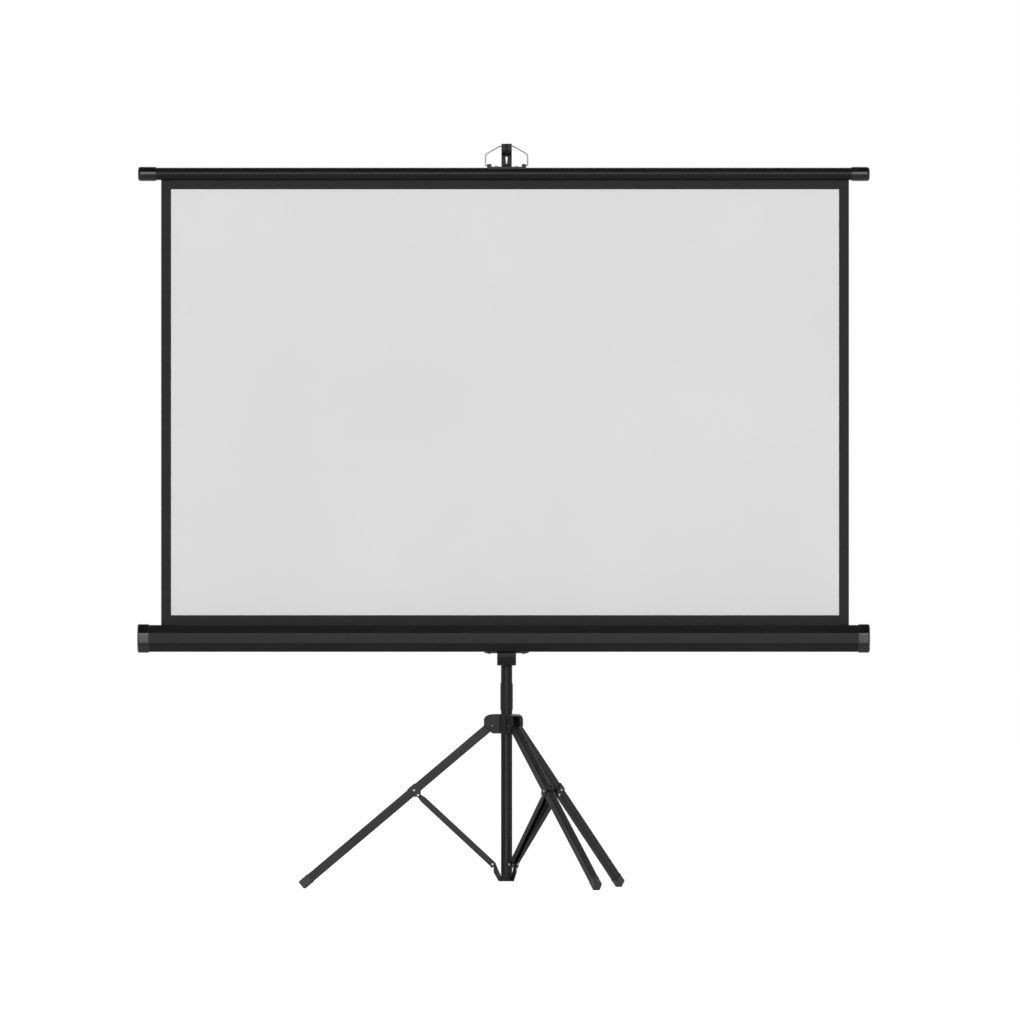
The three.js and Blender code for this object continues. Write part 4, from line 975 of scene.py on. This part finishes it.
shells = [
    hook_band(-HOOK_HALF, -GROOVE_HALF, lip),
    hook_band(-GROOVE_HALF, GROOVE_HALF, lip + GROOVE_DEPTH / 4, GROOVE_HALF - BEAD_GAP),
    hook_band(-GROOVE_HALF - BAND_LAP, GROOVE_HALF + BAND_LAP, lip + GROOVE_DEPTH),
    hook_band(GROOVE_HALF, HOOK_HALF, lip),
]
neck = box_outline((-HOOK_HALF, neck_low), (HOOK_HALF, arm_low - HOOK_CHAMFER + 0.6), 0.6)
sill = neck_low + WINDOW_SILL
lintel = sill + WINDOW_HEIGHT
half_foot, half_top = WINDOW_FOOT / 2, WINDOW_TOP / 2
window = [(-half_foot, sill), (half_foot, sill), (half_top, lintel), (-half_top, lintel)]
window = rounded(window, 0.8, 5)
neck_ring = sleeve(neck, window, -HOOK_HALF, HOOK_HALF, 0.6)
shells.append(skin(neck_ring, mast_foot, X, Z, Y, loop=True))
spigot_radius = extension_radius - SPIGOT_FIT
spigot = turned([(spigot_radius, low[2]), (spigot_radius, neck_low + 0.5)], 48)
shells.append(skin(spigot, mast_foot, X, Y, Z))
piece("moulded_hook", "extension", moulded_black, shells, "hook_head")

# Top bar: a round black-painted tube, slotted underneath for the cloth's hem.
# The hem is slid in from one end with the rod in it, so it can't pull out.
BAR_WALL = 1.2
BAR_SLOT = 4.0
low, high = extent("top_bar")
bar_middle = np.array([0, cloth_y, (low + high)[2] / 2])
bar_radius = (high - low)[2] / 2
outer_gap = math.degrees(math.asin(BAR_SLOT / 2 / bar_radius))
inner_gap = math.degrees(math.asin(BAR_SLOT / 2 / (bar_radius - BAR_WALL)))
section = np.vstack([
    arc((0, 0), bar_radius, -90 + outer_gap, 270 - outer_gap, 72),
    arc((0, 0), bar_radius - BAR_WALL, 270 - inner_gap, -90 + inner_gap, 72),
])
shells = [skin(carried(section, [low[0], high[0]]), bar_middle, Y, Z, X)]
piece("painted_bar", "top_bar", casing_paint, shells, "top_bar")

# Bar caps: semi-gloss black thimbles pushed over both ends of the top bar.
# Each has a fine step at its mouth and a rounded end.
CAP_ROUNDING = 6.0
CAP_GROOVE = 0.35
CAP_STEPS = np.array([0, 0, 0.4, 2.0, 2.3, 3.2, 3.5])
round_end = np.linspace(0, math.pi / 2, 9)
for side, sign in (("left", -1), ("right", 1)):
    node = f"bar_cap_{side}"
    low, high = extent(node)
    mouth, end = (low[0], high[0])[::sign]
    radius = (high - low)[2] / 2
    nose = np.c_[
        radius - CAP_ROUNDING * (1 - np.cos(round_end)),
        end - sign * CAP_ROUNDING * (1 - np.sin(round_end)),
    ]
    radii = radius - np.array([0, 0.4, 0, 0, CAP_GROOVE, CAP_GROOVE, 0])
    radii[0] = bar_radius - 0.5
    profile = np.vstack([
        np.c_[radii, mouth + sign * CAP_STEPS],
        nose,
        [(radius * 0.4, end + sign * 0.3)],
    ])
    piece(f"gloss_{node}", "top_bar", gloss_black,
          [skin(turned(profile), bar_middle, Y, Z, X)], node)

# Bail plate: a saddle of black steel on top of the bar, screwed down in its middle.
# A lug at each end is drilled for one foot of the wire bail.
LUG_LENGTH = 10.0
LUG_RADIUS = 4.0
PLATE_RISE = 2.4
PLATE_EDGE = 1.2
PLATE_SEAT = 0.2
pivot = np.array(joints["bar_swing"]["pos_m"]) / MM
low, high = extent("bail_plate")
plate_half = (high - low)[1] / 2
plate_left, plate_right = low[0], high[0]
seat = math.degrees(math.asin(plate_half / (bar_radius + PLATE_SEAT)))
top = bar_radius + PLATE_RISE
upper_rim = box_outline((-plate_half, bar_radius), (plate_half, top), PLATE_EDGE, 3)[8:]
underside = arc((0, 0), bar_radius + PLATE_SEAT, 90 + seat, 90 - seat, 16)
saddle = np.vstack([underside, upper_rim])
shells = [skin(slab(saddle, plate_left, plate_right, 0.4), bar_middle, Y, Z, X)]
lug_middle = pivot[2] - bar_middle[2]
lug = np.vstack([
    arc((0, lug_middle), LUG_RADIUS, 0, 180),
    [(-LUG_RADIUS, bar_radius + 0.4), (LUG_RADIUS, bar_radius + 0.4)],
])
for start in (plate_left, plate_right - LUG_LENGTH):
    shells.append(skin(slab(lug, start, start + LUG_LENGTH, 0.6), bar_middle, Y, Z, X))
piece("steel_bail_plate", "top_bar", tube_paint, shells, "bail_plate")

# Wire bail: bright steel wire bent into a loop, with its feet turned in through the lugs.
# Its level top hangs in the hook's notch and carries the bar and the cloth's pull.
drawn_wire = finish("drawn_wire", (0.19, 0.19, 0.193), (0.27, 0.27, 0.273), (0.36, 0.48),
                    cloud=12, grain=0.4, relief=5, metallic=1.0)
WIRE_BEND = 5.0
FOOT_BEND = 3.5
SHOULDER = 26.0
TOP_HALF = 16.0
low, high = extent("wire_bail")
wire_radius = (high - low)[1] / 2
wire_half = (high - low)[0] / 2 - wire_radius
wire_top = high[2] - wire_radius
foot_half = plate_right - mast_x - LUG_LENGTH
left_half = np.array([
    (-foot_half, pivot[2]),
    (-wire_half, pivot[2]),
    (-wire_half, pivot[2] + SHOULDER),
    (-TOP_HALF, wire_top),
])
bends = np.vstack([left_half, left_half[::-1] * [-1, 1]])
bend = [0.01, FOOT_BEND, WIRE_BEND, WIRE_BEND]
route = rounded(bends, bend + bend[::-1], 8)[8:-8]
tangent = np.gradient(route, axis=0)
tangent /= np.linalg.norm(tangent, axis=1, keepdims=True)
flat = np.zeros(len(route))
sideways = np.c_[-tangent[:, 1], flat, tangent[:, 0]][:, None, :]
centre = np.c_[route[:, 0] + mast_x, flat + pivot[1], route[:, 1]][:, None, :]
around = (np.arange(20) * 2 * math.pi / 20)[None, :, None]
wire = centre + wire_radius * (np.cos(around) * sideways + np.sin(around) * Y)
piece("bent_bail", "bail", drawn_wire, [skin(wire)], "wire_bail", crease=50)

# Studio: a pale floor that fades into a white surround, and soft light from the front and behind.
# The surround is white to the eye and in reflections near the horizon, and darker overhead.
scene = bpy.context.scene
scene.view_settings.view_transform = "Standard"
FLOOR_HALF = 60.0
FLOOR_GLOW = 0.62
SURROUND_FILL = 0.3
OVERHEAD = {"From Min": 0.25, "From Max": 0.75, "To Min": 1.0, "To Max": 0.12}
LIGHT_SPREAD = math.radians(34)
WHITE = (1, 1, 1, 1)


def seen_mask(tree):
    """1 for rays that show the surround itself: camera, glossy and transmission rays."""
    path = add(tree, "LightPath")
    direct = maths(tree, "MAXIMUM", path["Is Camera Ray"], path["Is Glossy Ray"])
    return maths(tree, "MAXIMUM", direct, path["Is Transmission Ray"])


floor_paint, tree, shader = new_material("pale_floor")
feed(tree, shader, {
    "Base Color": (0.8, 0.8, 0.8, 1),
    "Roughness": 0.9,
    "Specular IOR Level": 0.0,
    "Emission Color": WHITE,
    "Emission Strength": maths(tree, "MULTIPLY", seen_mask(tree), FLOOR_GLOW),
})
floor_mesh = bpy.data.meshes.new("floor")
corners = np.array([(-1, -1, 0), (1, -1, 0), (1, 1, 0), (-1, 1, 0)]) * FLOOR_HALF
floor_mesh.from_pydata(corners, [], [(0, 1, 2, 3)])
floor_mesh.materials.append(floor_paint)
linked("floor", floor_mesh)

world = bpy.data.worlds.new("surround")
scene.world = world
world.use_nodes = True
tree = world.node_tree
place = add(tree, "SeparateXYZ", {"Vector": add(tree, "TexCoord")["Generated"]})
overhead = add(tree, "MapRange", {"Value": place["Z"], **OVERHEAD})["Result"]
strength = add(tree, "Mix", {"Factor": seen_mask(tree), "A": SURROUND_FILL, "B": overhead})
feed(tree, tree.nodes["Background"], {"Color": WHITE, "Strength": strength["Result"]})


def soft_light(name, bearing, elevation, strength):
    """A broad even light from a bearing, counted from the front to the right, and an elevation."""
    lamp = linked(name, bpy.data.lights.new(name, "SUN"))
    lamp.data.angle = LIGHT_SPREAD
    lamp.data.energy = strength
    lamp.rotation_euler = (math.radians(90 - elevation), 0, math.radians(bearing))


soft_light("front_light", bearing=-4, elevation=13, strength=2.05)
soft_light("back_light", bearing=160, elevation=35, strength=0.9)

# Camera: level with the middle of the picture and far away, as the photograph was taken.
# The lens is long, so upright and level edges stay so and depth hardly shows.
LENS = 1400.0
SENSOR = 36.0
VIEW_WIDTH = 2.355
VIEW_X = 0.01465
VIEW_Z = 0.8742
camera = linked("camera", bpy.data.cameras.new("camera"))
camera.data.lens = LENS
camera.data.sensor_width = SENSOR
camera.data.clip_end = 400.0
camera.location = (VIEW_X, cloth_y * MM - VIEW_WIDTH * LENS / SENSOR, VIEW_Z)
camera.rotation_euler = (math.pi / 2, 0, 0)
scene.camera = camera
